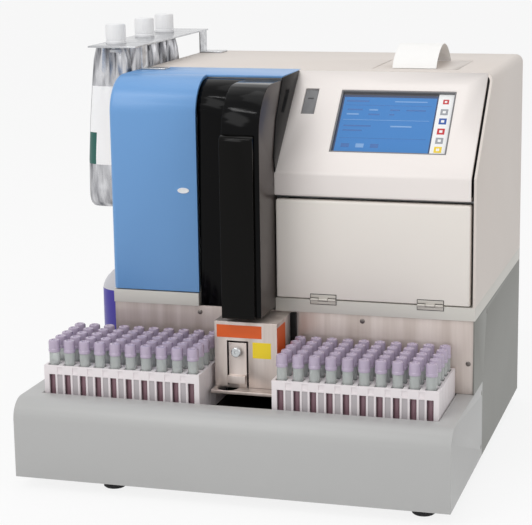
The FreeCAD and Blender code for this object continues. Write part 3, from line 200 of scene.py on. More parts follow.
def patch_group():
    """Roughness = base + (noise - 0.5) x amount: faint patches where hands have been."""
    group, start, end = new_group(
        "handling patches",
        [("Base", "NodeSocketFloat", 0.5), ("Amount", "NodeSocketFloat", 0.1),
         ("Scale", "NodeSocketFloat", 14.0)],
        [("Roughness", "NodeSocketFloat")])
    noise = noise_on_object(group)
    noise.inputs["Detail"].default_value = 5.0
    centred = arithmetic(group, "SUBTRACT", noise.outputs["Fac"], 0.5)
    spread = arithmetic(group, "MULTIPLY_ADD", centred, start.outputs["Amount"], start.outputs["Base"])
    spread.node.use_clamp = True
    group.links.new(start.outputs["Scale"], noise.inputs["Scale"])
    group.links.new(spread, end.inputs["Roughness"])
    return group


GRAIN, DRIFT, STREAK, PATCH = grain_group(), drift_group(), streak_group(), patch_group()
print("shader groups:", [group.name for group in (GRAIN, DRIFT, STREAK, PATCH)])

# %% [markdown]
# ## Finishes
# Each finish is one Principled shader with the groups in front of it. Numbers
# that are the same all over, such as metal, gloss level and transmission, are set
# on the shader itself. Colours are written as they look on screen and turned into
# the linear values that the shader wants.

# %% Finish helper


def linear(code):
    """A colour written as #RRGGBB in linear light, by the standard screen curve."""
    values = [int(code[place:place + 2], 16) / 255 for place in (1, 3, 5)]
    return [v / 12.92 if v <= 0.04045 else ((v + 0.055) / 1.055) ** 2.4 for v in values] + [1.0]


def place_group(material, group, **values):
    """One of the shared groups inside a material, with its own numbers."""
    node = material.node_tree.nodes.new("ShaderNodeGroup")
    node.node_tree = group
    for label, value in values.items():
        node.inputs[label].default_value = value
    return node


BUMP_DEPTH = 0.3 * MM
STREAK_RANGE = (0.35, 0.65)


def finish(name, colour, rough, drift=0.02, patch=0.08, grain=0.0, grain_scale=1600.0,
           streak=None, second=None, **fixed):
    """A material from the shared groups; fixed holds sockets of the shader itself."""
    material = bpy.data.materials.new(name)
    material.use_nodes = True
    links, nodes = material.node_tree.links, material.node_tree.nodes
    shader = nodes["Principled BSDF"]
    for label, value in fixed.items():
        shader.inputs[label.replace("_", " ")].default_value = value
    tone = place_group(material, DRIFT, Colour=linear(colour), Amount=drift)
    links.new(tone.outputs["Colour"], shader.inputs["Base Color"])
    skin = place_group(material, PATCH, Base=rough, Amount=patch)
    links.new(skin.outputs["Roughness"], shader.inputs["Roughness"])
    height = None
    if streak is not None:
        lines = place_group(material, STREAK, Stretch=streak)
        blend = nodes.new("ShaderNodeMix")
        blend.data_type = "RGBA"
        blend.inputs[7].default_value = linear(second or colour)
        contrast = nodes.new("ShaderNodeMapRange")
        contrast.inputs["From Min"].default_value = STREAK_RANGE[0]
        contrast.inputs["From Max"].default_value = STREAK_RANGE[1]
        links.new(lines.outputs["Streak"], contrast.inputs["Value"])
        links.new(contrast.outputs["Result"], blend.inputs[0])
        links.new(tone.outputs["Colour"], blend.inputs[6])
        links.new(blend.outputs[2], shader.inputs["Base Color"])
        height = lines.outputs["Streak"]
    elif grain:
        height = place_group(material, GRAIN, Scale=grain_scale).outputs["Height"]
    if height is not None:
        bump = nodes.new("ShaderNodeBump")
        bump.inputs["Strength"].default_value = grain
        bump.inputs["Distance"].default_value = BUMP_DEPTH
        links.new(height, bump.inputs["Height"])
        links.new(bump.outputs["Normal"], shader.inputs["Normal"])
    return material


# %% [markdown]
# The big covers are painted or moulded with a faint orange-peel grain, so they
# stay matt. The sampler's covers are gloss black. Stainless sheets are bright
# with long vertical streaks, and a warm reflection of the room around them is
# painted into their colour. A second finish of one slot of the record has the
# slot's name, a dot and a word of its own.

# %% Cover, steel and plastic finishes
LOADER = finish("loader_plastic", "#B9B9B8", 0.42, drift=0.015, grain=0.15)
GREY_SHEET = finish("grey_sheet", "#84847F", 0.5, drift=0.02, grain=0.2, grain_scale=1200.0)
FRAME_STEEL = finish("frame_steel", "#8E8F90", 0.42, streak=(40.0, 40.0, 3.0), second="#7E8082",
                     grain=0.05, Metallic=0.8)
LIP = finish("lip_paint", "#D2CFC8", 0.45, grain=0.15)
BEIGE = finish("beige_cover", "#DDD4CD", 0.52, drift=0.015, grain=0.3)
PANEL = finish("panel_white", "#F3ECE8", 0.42, drift=0.01, grain=0.15)
DOOR = finish("door_beige", "#EFE9E2", 0.45, drift=0.012, grain=0.2)
BLUE = finish("blue_cover", "#6C9FD6", 0.34, drift=0.02, grain=0.08)
BLACK_GLOSS = finish("black_cover", "#030304", 0.14, patch=0.02, Specular_IOR_Level=0.1)
SMOKED = finish("smoked_cover", "#040302", 0.12, patch=0.02, Specular_IOR_Level=0.12)
# Its warm tint is a painted reflection of the room.
STAINLESS = finish("stainless_sheet", "#D6CBC5", 0.36, streak=(70.0, 70.0, 4.0), second="#BFB2AA",
                   grain=0.06, Metallic=0.55)
BRACKET = finish("aluminium_block.bracket", "#CFD0D2", 0.24, streak=(8.0, 200.0, 200.0),
                 second="#A9AAAD", grain=0.05, Metallic=0.9)
BRIGHT_METAL = finish("bright_metal", "#C9CBCC", 0.22, streak=(20.0, 400.0, 400.0),
                      second="#B5B8BA", grain=0.05, Metallic=1.0)
ALUMINIUM = finish("aluminium_block", "#B9BCC0", 0.4, streak=(250.0, 250.0, 20.0),
                   second="#A9ACB0", grain=0.05, Metallic=0.9)
RACK = finish("rack_plastic", "#F0E9EB", 0.38, grain=0.1)
# A darker grey for the walls behind the recessed panels between windows: painted shade in those
# recesses.
RACK_RECESS_SHADE = finish("rack_recess_shade", "#BDB7BA", 0.38, grain=0.1)
WHITE_PLASTIC = finish("white_plastic", "#F1F1F2", 0.4, grain=0.1)
BLACK_PLASTIC = finish("black_plastic", "#17171A", 0.45, grain=0.3)
# Painted shade: a black finish for the sheet under the sampling station, where there is only deep shade.
LANE_PAINTED_SHADE = finish("black_plastic.painted_shade", "#0B0B0C", 0.5, grain=0.2, Specular_IOR_Level=0.2)
# A paler grey-brown for the gloss black column cover's faces towards +X: the screen panel's reflection,
# painted into the colour.
COLUMN_SIDE_REFLECTION = finish("black_cover.cheek", "#4A4340", 0.3, drift=0.25, patch=0.1, Specular_IOR_Level=0.3)
HINGE = finish("bright_metal.hinge", "#C9C4BC", 0.4, grain=0.1, Metallic=0.2)
SCREW_STEEL = finish("bright_metal.screw", "#7C7672", 0.35, patch=0.2, Metallic=0.8)
RUBBER = finish("foot_rubber", "#232325", 0.75, grain=0.6, grain_scale=900.0)
BEZEL = finish("bezel_grey", "#7C7C7E", 0.5, grain=0.2)
# Painted shadow: the bezel's shadow along the top of the display glass.
BEZEL_PAINTED_SHADOW = finish("bezel_painted_shadow", "#4C4C52", 0.5, grain=0.2)
PAPER = finish("paper", "#FCFBF9", 0.8, drift=0.01, grain=0.25, grain_scale=2600.0)
print(len(bpy.data.materials), "finishes so far")

# %% [markdown]
# Tubes are clear and hold a dark red column; the stoppers are pale lavender
# rubber. Foil is bright metal with a roughness that changes in patches, and dark
# upright streaks in its colour paint the shade and reflections of a crumpled
# pouch's creases. Printed fields are plain inks: every place that would carry
# words is a blank field of its colour.

# %% Tube, foil, screen and print finishes
TUBE = finish("clear_tube", "#DDE2E0", 0.08, patch=0.02, Transmission_Weight=0.5, IOR=1.45)
BLOOD = finish("tube_content", "#8A6B74", 0.3, drift=0.2)
STOPPER = finish("stopper_rubber", "#B7A9BF", 0.25, drift=0.12, grain=0.1,
                 Specular_IOR_Level=0.8)
# Its dark upright streaks are painted shade and reflection of the creases.
FOIL = finish("pouch_foil", "#D2D2D5", 0.26, drift=0.06, patch=0.3, streak=(95.0, 95.0, 16.0),
              second="#6C6D72", grain=0.6, Metallic=0.9)
LABEL_WHITE = finish("label_white", "#FBFBFC", 0.4, drift=0.03)
LABEL_GREEN = finish("label_green", "#0F5A50", 0.35, drift=0.05)
LABEL_VIOLET = finish("label_violet", "#3A2C9B", 0.35, drift=0.04)
BOTTLE = finish("bottle_plastic", "#D8D8DE", 0.38, grain=0.1, Transmission_Weight=0.15)
STICKER_ORANGE = finish("sticker_orange", "#DB5A12", 0.45, drift=0.05)
STICKER_YELLOW = finish("sticker_yellow", "#F2D51E", 0.45, drift=0.03)
SCREEN_BLUE = finish("screen_field", "#4A86C8", 0.22, drift=0.05, patch=0.04,
                     Specular_IOR_Level=0.2)
# The display's dark edge; at the left and top it is wider and paints the bezel's shadow as well.
SCREEN_EDGE_AND_SHADOW = finish("screen_edge_and_shadow", "#2A3F66", 0.2, patch=0.04)
SCREEN_DARK = finish("screen_mark_dark", "#3B6CAE", 0.2, patch=0.04)
SCREEN_PALE = finish("screen_mark_pale", "#7FA9DA", 0.2, patch=0.04)
KEY_WHITE = finish("key_strip", "#F4F4F4", 0.3, patch=0.04)
KEY_RED = finish("key_red", "#C4252C", 0.35)
KEY_BLUE = finish("key_blue", "#1F4FA0", 0.35)
KEY_GREY = finish("key_grey", "#9A9DA2", 0.35)
KEY_YELLOW = finish("key_yellow", "#F0CF2A", 0.35)
print(len(bpy.data.materials), "finishes in all")

# %% [markdown]
# ## Shapes as arrays
# A shape here is a dictionary: points in millimetres, faces as index lists and
# the paint slot of each face. Points come from whole-array formulas on a grid of
# two parameters. Doubled points at seams and poles are merged when the shape
# becomes a mesh, so a formula never has to treat them on their own.

# %% Shape helpers


def shape(points, faces, paint=0):
    """Points as an n by 3 array in millimetres, faces as lists, one paint slot per face."""
    faces = [list(map(int, face)) for face in faces]
    paint = np.broadcast_to(np.asarray(paint), (len(faces),))
    return {"points": np.asarray(points, float).reshape(-1, 3), "faces": faces,
            "paint": [int(slot) for slot in paint]}


def joined(*shapes):
    """Several shapes as one: later faces count on from the points before them."""
    points, faces, paint, start = [], [], [], 0
    for item in shapes:
        points.append(item["points"])
        faces += [[index + start for index in face] for face in item["faces"]]
        paint += item["paint"]
        start += len(item["points"])
    return {"points": np.concatenate(points), "faces": faces, "paint": paint}


def painted(item, slot):
    """The same shape with every face in one paint slot."""
    return {**item, "paint": [slot] * len(item["faces"])}


def moved(item, shift):
    """The same shape at another place."""
    return {**item, "points": item["points"] + np.asarray(shift, float)}


def copies(item, shifts):
    """The same shape at many places."""
    return joined(*[moved(item, shift) for shift in shifts])


def grid_faces(rows, cols):
    """Quads between points next to each other in a row and in the next row; rows are closed."""
    row, col = np.meshgrid(np.arange(rows - 1), np.arange(cols), indexing="ij")
    beside = (col + 1) % cols
    return np.stack([row * cols + col, row * cols + beside, (row + 1) * cols + beside,
                     (row + 1) * cols + col], axis=-1).reshape(-1, 4)


AXES = {"x": ((0, 1, 0), (0, 0, 1), (1, 0, 0)), "y": ((0, 0, 1), (1, 0, 0), (0, 1, 0)),
        "z": ((1, 0, 0), (0, 1, 0), (0, 0, 1))}


def turned(profile, place, axis="z", sides=24, flute=0.0, fluted=(), paint=0):
    """Radius and height pairs turned about an axis; fluted rows have every other side lower."""
    profile = np.asarray(profile, float)
    angle = np.arange(sides) * 2 * math.pi / sides
    across, beside, along = np.array(AXES[axis], float)
    ring = np.outer(np.cos(angle), across) + np.outer(np.sin(angle), beside)
    reach = np.repeat(profile[:, :1], sides, axis=1)
    for row in fluted:
        reach[row, ::2] -= flute
    points = reach[:, :, None] * ring[None] + profile[:, 1][:, None, None] * along
    rows = np.repeat(np.broadcast_to(paint, (len(profile) - 1,)), sides)
    return shape(points + np.asarray(place, float), grid_faces(len(profile), sides), rows)


def rod(start, length, radius, axis="z", sides=20, soft=0.3):
    """A round bar with softened ends: its radius grows to full within the first soft length."""
    soft = min(soft, radius * 0.5, length * 0.25)
    return turned([(0, 0), (radius - soft, 0), (radius, soft), (radius, length - soft),
                   (radius - soft, length), (0, length)], start, axis, sides)


def soft_box(low, high, soft, steps=3, paint=0):
    """A box with rounded edges: a unit sphere's directions, pushed out to each octant's corner."""
    low, high = np.asarray(low, float), np.asarray(high, float)
    soft = min(soft, float((high - low).min()) / 2)
    quarter = np.linspace(0, math.pi / 2, steps + 1)
    around = np.add.outer(np.arange(4) * math.pi / 2, quarter).ravel()
    side = np.repeat([[1, 1], [-1, 1], [-1, -1], [1, -1]], steps + 1, axis=0)
    rise = np.concatenate([quarter - math.pi / 2, quarter])
    level = np.repeat([-1, 1], steps + 1)
    direction = np.stack([np.outer(np.cos(rise), np.cos(around)), np.outer(np.cos(rise), np.sin(around)),
                          np.outer(np.sin(rise), np.ones_like(around))], axis=-1)
    corner = np.stack([np.broadcast_to(side[:, 0], (len(rise), len(around))),
                       np.broadcast_to(side[:, 1], (len(rise), len(around))),
                       np.broadcast_to(level[:, None], (len(rise), len(around)))], axis=-1)
    middle, half = (low + high) / 2, (high - low) / 2
    points = middle + corner * (half - soft) + direction * soft
    count = len(around)
    caps = [np.arange(count)[::-1], np.arange(count) + (len(rise) - 1) * count]
    return shape(points, list(grid_faces(len(rise), count)) + caps, paint)


def swept_outline(outline, axis, start, end):
    """A closed outline pushed along an axis, with a face at each end."""
    outline = np.asarray(outline, float)
    across, beside, along = np.array(AXES[axis], float)
    flat = np.outer(outline[:, 0], across) + np.outer(outline[:, 1], beside)
    points = np.stack([flat + along * start, flat + along * end])
    count = len(outline)
    caps = [np.arange(count)[::-1], np.arange(count) + count]
    return shape(points, list(grid_faces(2, count)) + caps)


def cells(xs, ys, zs, filled, paint=None):
    """The skin of the filled cells of a grid of boxes: a quad wherever filled meets empty.

    Filled is compared with itself one cell on along each axis. Where only the
    nearer cell is filled the quad faces onwards, and where only the farther one is
    filled it faces back. Each quad has the paint of its filled cell.
    """
    lines = [np.asarray(line, float) for line in (xs, ys, zs)]
    counts = [len(line) for line in lines]
    points = np.stack(np.meshgrid(*lines, indexing="ij"), axis=-1).reshape(-1, 3)
    index = np.arange(len(points)).reshape(counts)
    padded = np.pad(filled, 1)
    tone = np.pad(np.zeros(filled.shape, int) if paint is None else paint, 1)
    faces, slots = [], []
    for axis in range(3):
        low = [slice(1, -1)] * 3
        high = [slice(1, -1)] * 3
        low[axis], high[axis] = slice(0, -1), slice(1, None)
        before, after = padded[tuple(low)], padded[tuple(high)]
        first, second = [other for other in range(3) if other != axis]
        for wall, slot, turn_round in ((before & ~after, tone[tuple(low)], False),
                                       (~before & after, tone[tuple(high)], True)):
            spot = np.argwhere(wall)
            step_a, step_b = np.eye(3, dtype=int)[first], np.eye(3, dtype=int)[second]
            ring = [spot, spot + step_a, spot + step_a + step_b, spot + step_b]
            quads = np.stack([index[tuple(corner.T)] for corner in ring], axis=-1)
            faces += list(quads[:, ::-1] if turn_round else quads)
            slots += list(slot[wall])
    return shape(points, faces, slots)


# %% [markdown]
# ## From shape to piece
# A piece is one mesh object that rides on a CAD body. Its normals are worked out
# afresh after its doubles are merged, and edges sharper than a set angle stay
# crisp or get a small bevel, because a real moulded or folded edge always
# catches a thin line of light.

# %% Piece helper
SHARP = math.radians(32)
DOUBLE, SLIVER = 0.002 * MM, 0.001 * MM
SAME_PLANE = 0.002
BEVEL_STEPS = 2


def bevel_edges(item, width):
    """A bevel on every edge sharper than the set angle."""
    tool = item.modifiers.new("edges", "BEVEL")
    tool.width, tool.segments = width * MM, BEVEL_STEPS
    tool.limit_method, tool.angle_limit = "ANGLE", SHARP
    tool.harden_normals = True
    tool.use_clamp_overlap = True


def finished_mesh(build, mesh, edge):
    """Merge doubles, drop slivers, point the faces outwards and shade them smooth.

    Without a bevel to come, the edges past the set angle are marked sharp.
    """
    bmesh.ops.remove_doubles(build, verts=build.verts, dist=DOUBLE)
    bmesh.ops.dissolve_degenerate(build, edges=build.edges, dist=SLIVER)
    bmesh.ops.recalc_face_normals(build, faces=build.faces)
    build.to_mesh(mesh)
    build.free()
    mesh.shade_smooth()
    if not edge:
        mesh.set_sharp_from_angle(angle=SHARP)


def piece(name, item, materials, body="analyzer", instead=(), edge=0.0, flat=False):
    """A shape as a mesh object with its finishes, its body and what it stands for.

    Edge is the width of its bevel, and flat joins faces that lie in one plane.
    """
    mesh = bpy.data.meshes.new(name)
    mesh.from_pydata((item["points"] * MM).tolist(), [], item["faces"])
    mesh.polygons.foreach_set("material_index", item["paint"])
    for material in materials if isinstance(materials, (list, tuple)) else [materials]:
        mesh.materials.append(material)
    build = bmesh.new()
    build.from_mesh(mesh)
    if flat:
        bmesh.ops.remove_doubles(build, verts=build.verts, dist=DOUBLE)
        bmesh.ops.dissolve_limit(build, angle_limit=SAME_PLANE, verts=build.verts,
                                 edges=build.edges, delimit={"MATERIAL"})
    finished_mesh(build, mesh, edge)
    made = bpy.data.objects.new(name, mesh)
    bpy.context.scene.collection.objects.link(made)
    if edge:
        bevel_edges(made, edge)
    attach(made, body)
    if instead:
        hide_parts(*instead)
    print(name, len(mesh.polygons), "faces")


def body_of(node):
    """The name of the CAD body that a node rides on."""
    return frame["nodes"][node]["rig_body"]


def soften(node, material, edge, cheek=None):
    """A CAD node's own mesh, merged, with softened edges; the optional second finish goes on its faces
    towards +X and carries a painted reflection.
    """
    build = bmesh.new()
    build.from_mesh(frame["nodes"][node].data)
    bmesh.ops.remove_doubles(build, verts=build.verts, dist=DOUBLE)
    bmesh.ops.dissolve_limit(build, angle_limit=SAME_PLANE, verts=build.verts, edges=build.edges)
    name = node + "_skin"
    mesh = bpy.data.meshes.new(name)
    finished_mesh(build, mesh, edge)
    mesh.materials.append(material)
    if cheek is not None:
        mesh.materials.append(cheek)
        normals = np.zeros(len(mesh.polygons) * 3)
        mesh.polygons.foreach_get("normal", normals)
        to_the_right = normals.reshape(-1, 3)[:, 0] > 0.9
        mesh.polygons.foreach_set("material_index", to_the_right.astype(int))
    made = bpy.data.objects.new(name, mesh)
    bpy.context.scene.collection.objects.link(made)
    bevel_edges(made, edge)
    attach(made, body_of(node))
    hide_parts(node)


def corners(node):
    """A node's lowest and highest corner in millimetres, as arrays."""
    low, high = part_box(node)
    return np.array(low) / MM, np.array(high) / MM


# %% [markdown]
# ## Big covers
# These pieces already have their shapes in the CAD model: the loader's rounded
# nose, the rolled blue door, the sloped panel. Building them again would only
# risk their sizes, so each is copied, merged and given an edge of its own size.
# The gloss black column cover's side towards the screen panel has the panel's pale
# reflection painted into its colour: its faces towards +X get a paler grey-brown finish of their own.

# %% Softened covers
COVERS = {
    "loader_base": (LOADER, 1.6), "rack_floor": (STAINLESS, 0.3),
    # lane_lining is a black sheet under the sampling station: painted shade.
    "side_panels": (GREY_SHEET, 0.5), "lane_lining": (LANE_PAINTED_SHADE, 0.2),
    "rear_panel": (GREY_SHEET, 0.4), "bay_back_plate": (STAINLESS, 0.3),
    "instrument_shelf": (LIP, 0.8), "upper_housing": (BEIGE, 1.0),
    "operator_panel": (PANEL, 0.9), "lower_door": (DOOR, 1.2), "left_door": (BLUE, 0.9),
    "top_cover": (BLUE, 0.6), "column_cover": (BLACK_GLOSS, 1.4),
    "column_side_cover": (BLACK_GLOSS, 1.2), "column_front_cover": (SMOKED, 1.2),
    "sampling_station": (STAINLESS, 0.35), "tube_port_plate": (STAINLESS, 0.5),
    "station_hatch": (STAINLESS, 0.3), "pouch_bracket": (BRACKET, 0.4),
    "printer_lid": (BEIGE, 0.5), "screen_bezel": (BEZEL, 0.5), "card_slot": (BEZEL, 0.5),
    "bottle_shelf": (GREY_SHEET, 0.4), "sampler_mast": (ALUMINIUM, 0.4),
    "needle_carriage": (BLACK_PLASTIC, 0.6), "column_oven": (ALUMINIUM, 0.8),
    "pump_unit": (ALUMINIUM, 0.8), "power_module": (BLACK_PLASTIC, 0.4),
    "power_rocker": (BLACK_PLASTIC, 0.5),
}
for node, (material, edge) in COVERS.items():
    soften(node, material, edge, cheek=COLUMN_SIDE_REFLECTION if node == "column_cover" else None)
print(len(COVERS), "CAD nodes softened")

# %% [markdown]
# ## Sample racks
# A rack is one moulding: ten square cells, a dark window in front of each tube,
# and a shallow panel between two windows. All its walls are square to each
# other, so it is drawn as a grid of little boxes that are filled or empty, and
# its skin is read off where filled meets empty.

# %% Racks
PLACES, PLACE_PITCH, CELL, WINDOW, RECESS = 10, 19.7, 14.0, 8.0, 6.8
CELL_FLOOR, WINDOW_FOOT, WINDOW_TOP, RAIL_TOP, BAND_TOP = 3.0, 4.0, 43.0, 45.0, 52.0
RECESS_DEPTH = 1.2


def rack_shape(length, width, height):
    """Filled cells less ten wells, ten windows on both sides and the panels between; the cells behind
    the panels take the second finish, painted shade in the recesses.
    """
    first = (length - (PLACES - 1) * PLACE_PITCH) / 2
    middle = first + np.arange(PLACES) * PLACE_PITCH
    between = middle[:-1] + PLACE_PITCH / 2
    wall = (width - CELL) / 2
    xs = np.unique(np.concatenate([[0, length], middle - CELL / 2, middle + CELL / 2,
                                   middle - WINDOW / 2, middle + WINDOW / 2,
                                   between - RECESS / 2, between + RECESS / 2]).round(3))
    ys = np.array([0, RECESS_DEPTH, wall, width - wall, width - RECESS_DEPTH, width])
    zs = np.array([0, CELL_FLOOR, WINDOW_FOOT, WINDOW_TOP, RAIL_TOP, BAND_TOP, height])
    x, y, z = np.meshgrid((xs[1:] + xs[:-1]) / 2, (ys[1:] + ys[:-1]) / 2, (zs[1:] + zs[:-1]) / 2,
                          indexing="ij")
    from_middle = np.abs(x[..., None] - middle).min(axis=-1)
    from_between = np.abs(x[..., None] - between).min(axis=-1)
    in_wall = (y < wall) | (y > width - wall)
    skin = (y < RECESS_DEPTH) | (y > width - RECESS_DEPTH)
    well = (from_middle < CELL / 2) & ~in_wall & (z > CELL_FLOOR)
    open_height = (z > WINDOW_FOOT) & (z < WINDOW_TOP)
    window = (from_middle < WINDOW / 2) & in_wall & open_height
    panel = (from_between < RECESS / 2) & skin & (z > WINDOW_FOOT) & (z < BAND_TOP)
    panel &= (z < WINDOW_TOP) | (z > RAIL_TOP)
    # The walls behind each recessed panel take the second finish: painted shade.
    behind = (from_between < RECESS / 2) & in_wall & ~skin & open_height
    return cells(xs, ys, zs, ~(well | window | panel), behind.astype(int))


RACKS = [f"rack_{side}_{number}" for side in ("left", "right") for number in range(1, 6)]
rack_low, rack_high = corners(RACKS[0])
one_rack = rack_shape(*(rack_high - rack_low))
for node in RACKS:
    piece(node + "_moulding", moved(one_rack, corners(node)[0]), [RACK, RACK_RECESS_SHADE],
          instead=(node,), edge=0.25, flat=True)

# %% [markdown]
# ## Tubes and stoppers
# A hundred tubes stand in the racks. Each is a turned profile: clear above, with a
# wet dark finish up to the level of its contents, and a fluted rubber stopper. One
# of each is made and copied, with few sides, because there are so many.

# %% Tubes
TUBE_R, CAP_R, GRIP_R, FILLED = 6.4, 7.2, 6.9, 46.0
tube_foot, tube_top = [corner[2] for corner in corners("sample_tubes")]
cap_foot, cap_top = [corner[2] for corner in corners("tube_stoppers")]


def tube_places():
    """The axis of every tube, from each rack's own box."""
    spots = []
    for rack in RACKS:
        low, high = corners(rack)
        first = low[0] + (high[0] - low[0] - (PLACES - 1) * PLACE_PITCH) / 2
        spots += [(first + place * PLACE_PITCH, (low[1] + high[1]) / 2, 0) for place in range(PLACES)]
    return np.array(spots)


places = tube_places()
tube = turned([(0, tube_foot), (3.4, tube_foot + 0.9), (5.8, tube_foot + 3.2),
               (TUBE_R, tube_foot + TUBE_R), (TUBE_R, tube_foot + FILLED), (TUBE_R, tube_top),
               (0, tube_top)], (0, 0, 0), sides=12, paint=[1, 1, 1, 1, 0, 0])
piece("tube_glass", copies(tube, places), [TUBE, BLOOD], instead=("sample_tubes",))
cap_profile = [(0, cap_foot), (6.6, cap_foot), (CAP_R, cap_foot + 0.7), (CAP_R, cap_foot + 3.4),
               (GRIP_R, cap_foot + 4.0), (GRIP_R, cap_foot + 12.6), (6.2, cap_foot + 14.4),
               (4.6, cap_top), (3.6, cap_top), (3.0, cap_top - 1.4), (0, cap_top - 1.4)]
one_cap = turned(cap_profile, (0, 0, 0), sides=16, flute=0.35, fluted=(4, 5))
piece("stopper_caps", copies(one_cap, places), STOPPER,
      instead=("tube_stoppers",))

# %% [markdown]
# ## Reagent pouches
# A foil pouch hangs by its spout from a hole in the bracket. It is narrow and
# pleated under the spout, then fills out to a round-cornered base. Two sheets
# meet in flat seams at the sides, and the liquid pulls shallow creases between
# them. The surface is a function of height and of the turn around the pouch.

# %% Pouch surface
POUCH_ROWS, POUCH_COLS = 56, 72
FOIL_SLOT, WHITE_SLOT, GREEN_SLOT, SPOUT_SLOT = range(4)
WIDTH_BY_RISE = [(0, 0.88), (0.02, 0.96), (0.06, 1.0), (0.3, 0.98), (0.55, 0.90), (0.8, 0.78),
                 (0.93, 0.70), (1, 0.60)]
DEPTH_BY_RISE = [(0, 0.55), (0.03, 0.85), (0.1, 1.0), (0.3, 0.92), (0.6, 0.66), (0.85, 0.42),
                 (1, 0.34)]
LABEL_FOOT, LABEL_HEAD, LABEL_SIDE = 0.27, 0.76, 0.93
GREEN_HEAD, GREEN_SIDE = 0.46, -0.62
SEAM_ROOM, FOLD_ROOM = 0.4, 1.2
PLEAT, LOW_CREASE, RIPPLE = 2.6, 1.3, 0.7


def pouch_shape(low, high, top, seed):
    """Width and thickness follow the height; the section is a lens with a flat seam each side.

    Three sines of the turn and the height fold it: pleats that grow towards the
    spout, creases round the filled foot, and a slow ripple. All fade at the seams.
    """
    middle = (low[:2] + high[:2]) / 2
    half = (high[0] - low[0]) / 2 - SEAM_ROOM
    deep = (high[1] - low[1]) / 2 - FOLD_ROOM
    rise = np.linspace(0, 1, POUCH_ROWS)
    height = low[2] + rise * (top - low[2])
    wide = half * np.interp(rise, *np.transpose(WIDTH_BY_RISE))
    thick = deep * np.interp(rise, *np.transpose(DEPTH_BY_RISE))
    turn_by = np.arange(POUCH_COLS) * 2 * math.pi / POUCH_COLS
    across = np.sign(np.cos(turn_by)) * np.abs(np.cos(turn_by)) ** 0.82
    bulge = np.sign(np.sin(turn_by)) * np.abs(np.sin(turn_by)) ** 0.9
    x = wide[:, None] * across
    y = thick[:, None] * bulge
    away = 1 - np.abs(across) ** 2
    pleat = np.clip((rise - 0.6) / 0.4, 0, 1)[:, None] ** 1.3
    low_crease = np.exp(-((rise - 0.13) / 0.08) ** 2)[:, None]
    up = rise[:, None]
    fold = away * (PLEAT * pleat * np.sin(9 * across * math.pi / 2 + seed)
                   + LOW_CREASE * low_crease * np.sin(6 * across + 26 * up + seed)
                   + RIPPLE * np.sin(17 * up + 3 * across + seed * 2))
    y = y + np.sign(bulge) * fold
    points = np.stack([middle[0] + x, middle[1] + y,
                       np.broadcast_to(height[:, None], x.shape)], axis=-1)
    grid = grid_faces(POUCH_ROWS, POUCH_COLS)
    row, col = np.divmod(np.arange(len(grid)), POUCH_COLS)
    level, side = rise[row], across[col]
    front = bulge[col] < 0
    slots = np.full(len(grid), FOIL_SLOT)
    above_foot = front & (level > LABEL_FOOT)
    slots[above_foot & (level < LABEL_HEAD) & (np.abs(side) < LABEL_SIDE)] = WHITE_SLOT
    slots[above_foot & (level < GREEN_HEAD) & (side < GREEN_SIDE)] = GREEN_SLOT
    caps = [np.arange(POUCH_COLS)[::-1], np.arange(POUCH_COLS) + (POUCH_ROWS - 1) * POUCH_COLS]
    return shape(points, list(grid) + caps, list(slots) + [FOIL_SLOT, FOIL_SLOT])


def spout(place, bottom, top, cap_top):
    """The white neck through the bracket, and its ribbed screw cap with a tear ring."""
    collar_r, neck_r, rib_r = 11, 8.4, 13.1
    neck = turned([(0, bottom), (collar_r, bottom), (collar_r, bottom + 3), (neck_r, bottom + 4),
                   (neck_r, top), (0, top)], place, sides=24)
    ribs = turned([(0, top), (rib_r - 0.5, top), (rib_r, top + 1), (rib_r, top + 3.2),
                   (rib_r - 0.8, top + 3.8), (rib_r - 0.8, top + 4.6), (rib_r, top + 5.2),
                   (rib_r - 0.2, cap_top - 2.4), (rib_r - 1.1, cap_top - 0.6), (10.6, cap_top),
                   (0, cap_top)], place, sides=48, flute=0.4, fluted=(6, 7))
    return neck, ribs


BRACKET_SHEET, BAG_DROP, COLLAR_DROP = 2.0, 4.0, 9.0
caps_low, caps_high = corners("pouch_caps")
neck_x = (caps_low[0] + caps_high[0]) / 2
bracket_under = corners("pouch_bracket")[1][2] - BRACKET_SHEET
cap_shapes = []
for number in range(1, 4):
    node = f"reagent_pouch_{number}"
    low, high = corners(node)
    foil = pouch_shape(low, high, bracket_under - BAG_DROP, number * 1.7)
    neck, ribs = spout((neck_x, (low[1] + high[1]) / 2, 0), bracket_under - COLLAR_DROP,
                       caps_low[2], caps_high[2])
    piece(f"pouch_{number}", joined(foil, painted(neck, SPOUT_SLOT)),
          [FOIL, LABEL_WHITE, LABEL_GREEN, WHITE_PLASTIC], instead=(node,))
    cap_shapes.append(ribs)
piece("pouch_screw_caps", joined(*cap_shapes), WHITE_PLASTIC,
      instead=("pouch_caps",))

# %% [markdown]
# ## Wash bottle
# A blow-moulded bottle has a long round shoulder and a slightly raised foot. Its
# label is a band of violet ink between two heights, so rows of the turned
# profile stand exactly at the label's edges.

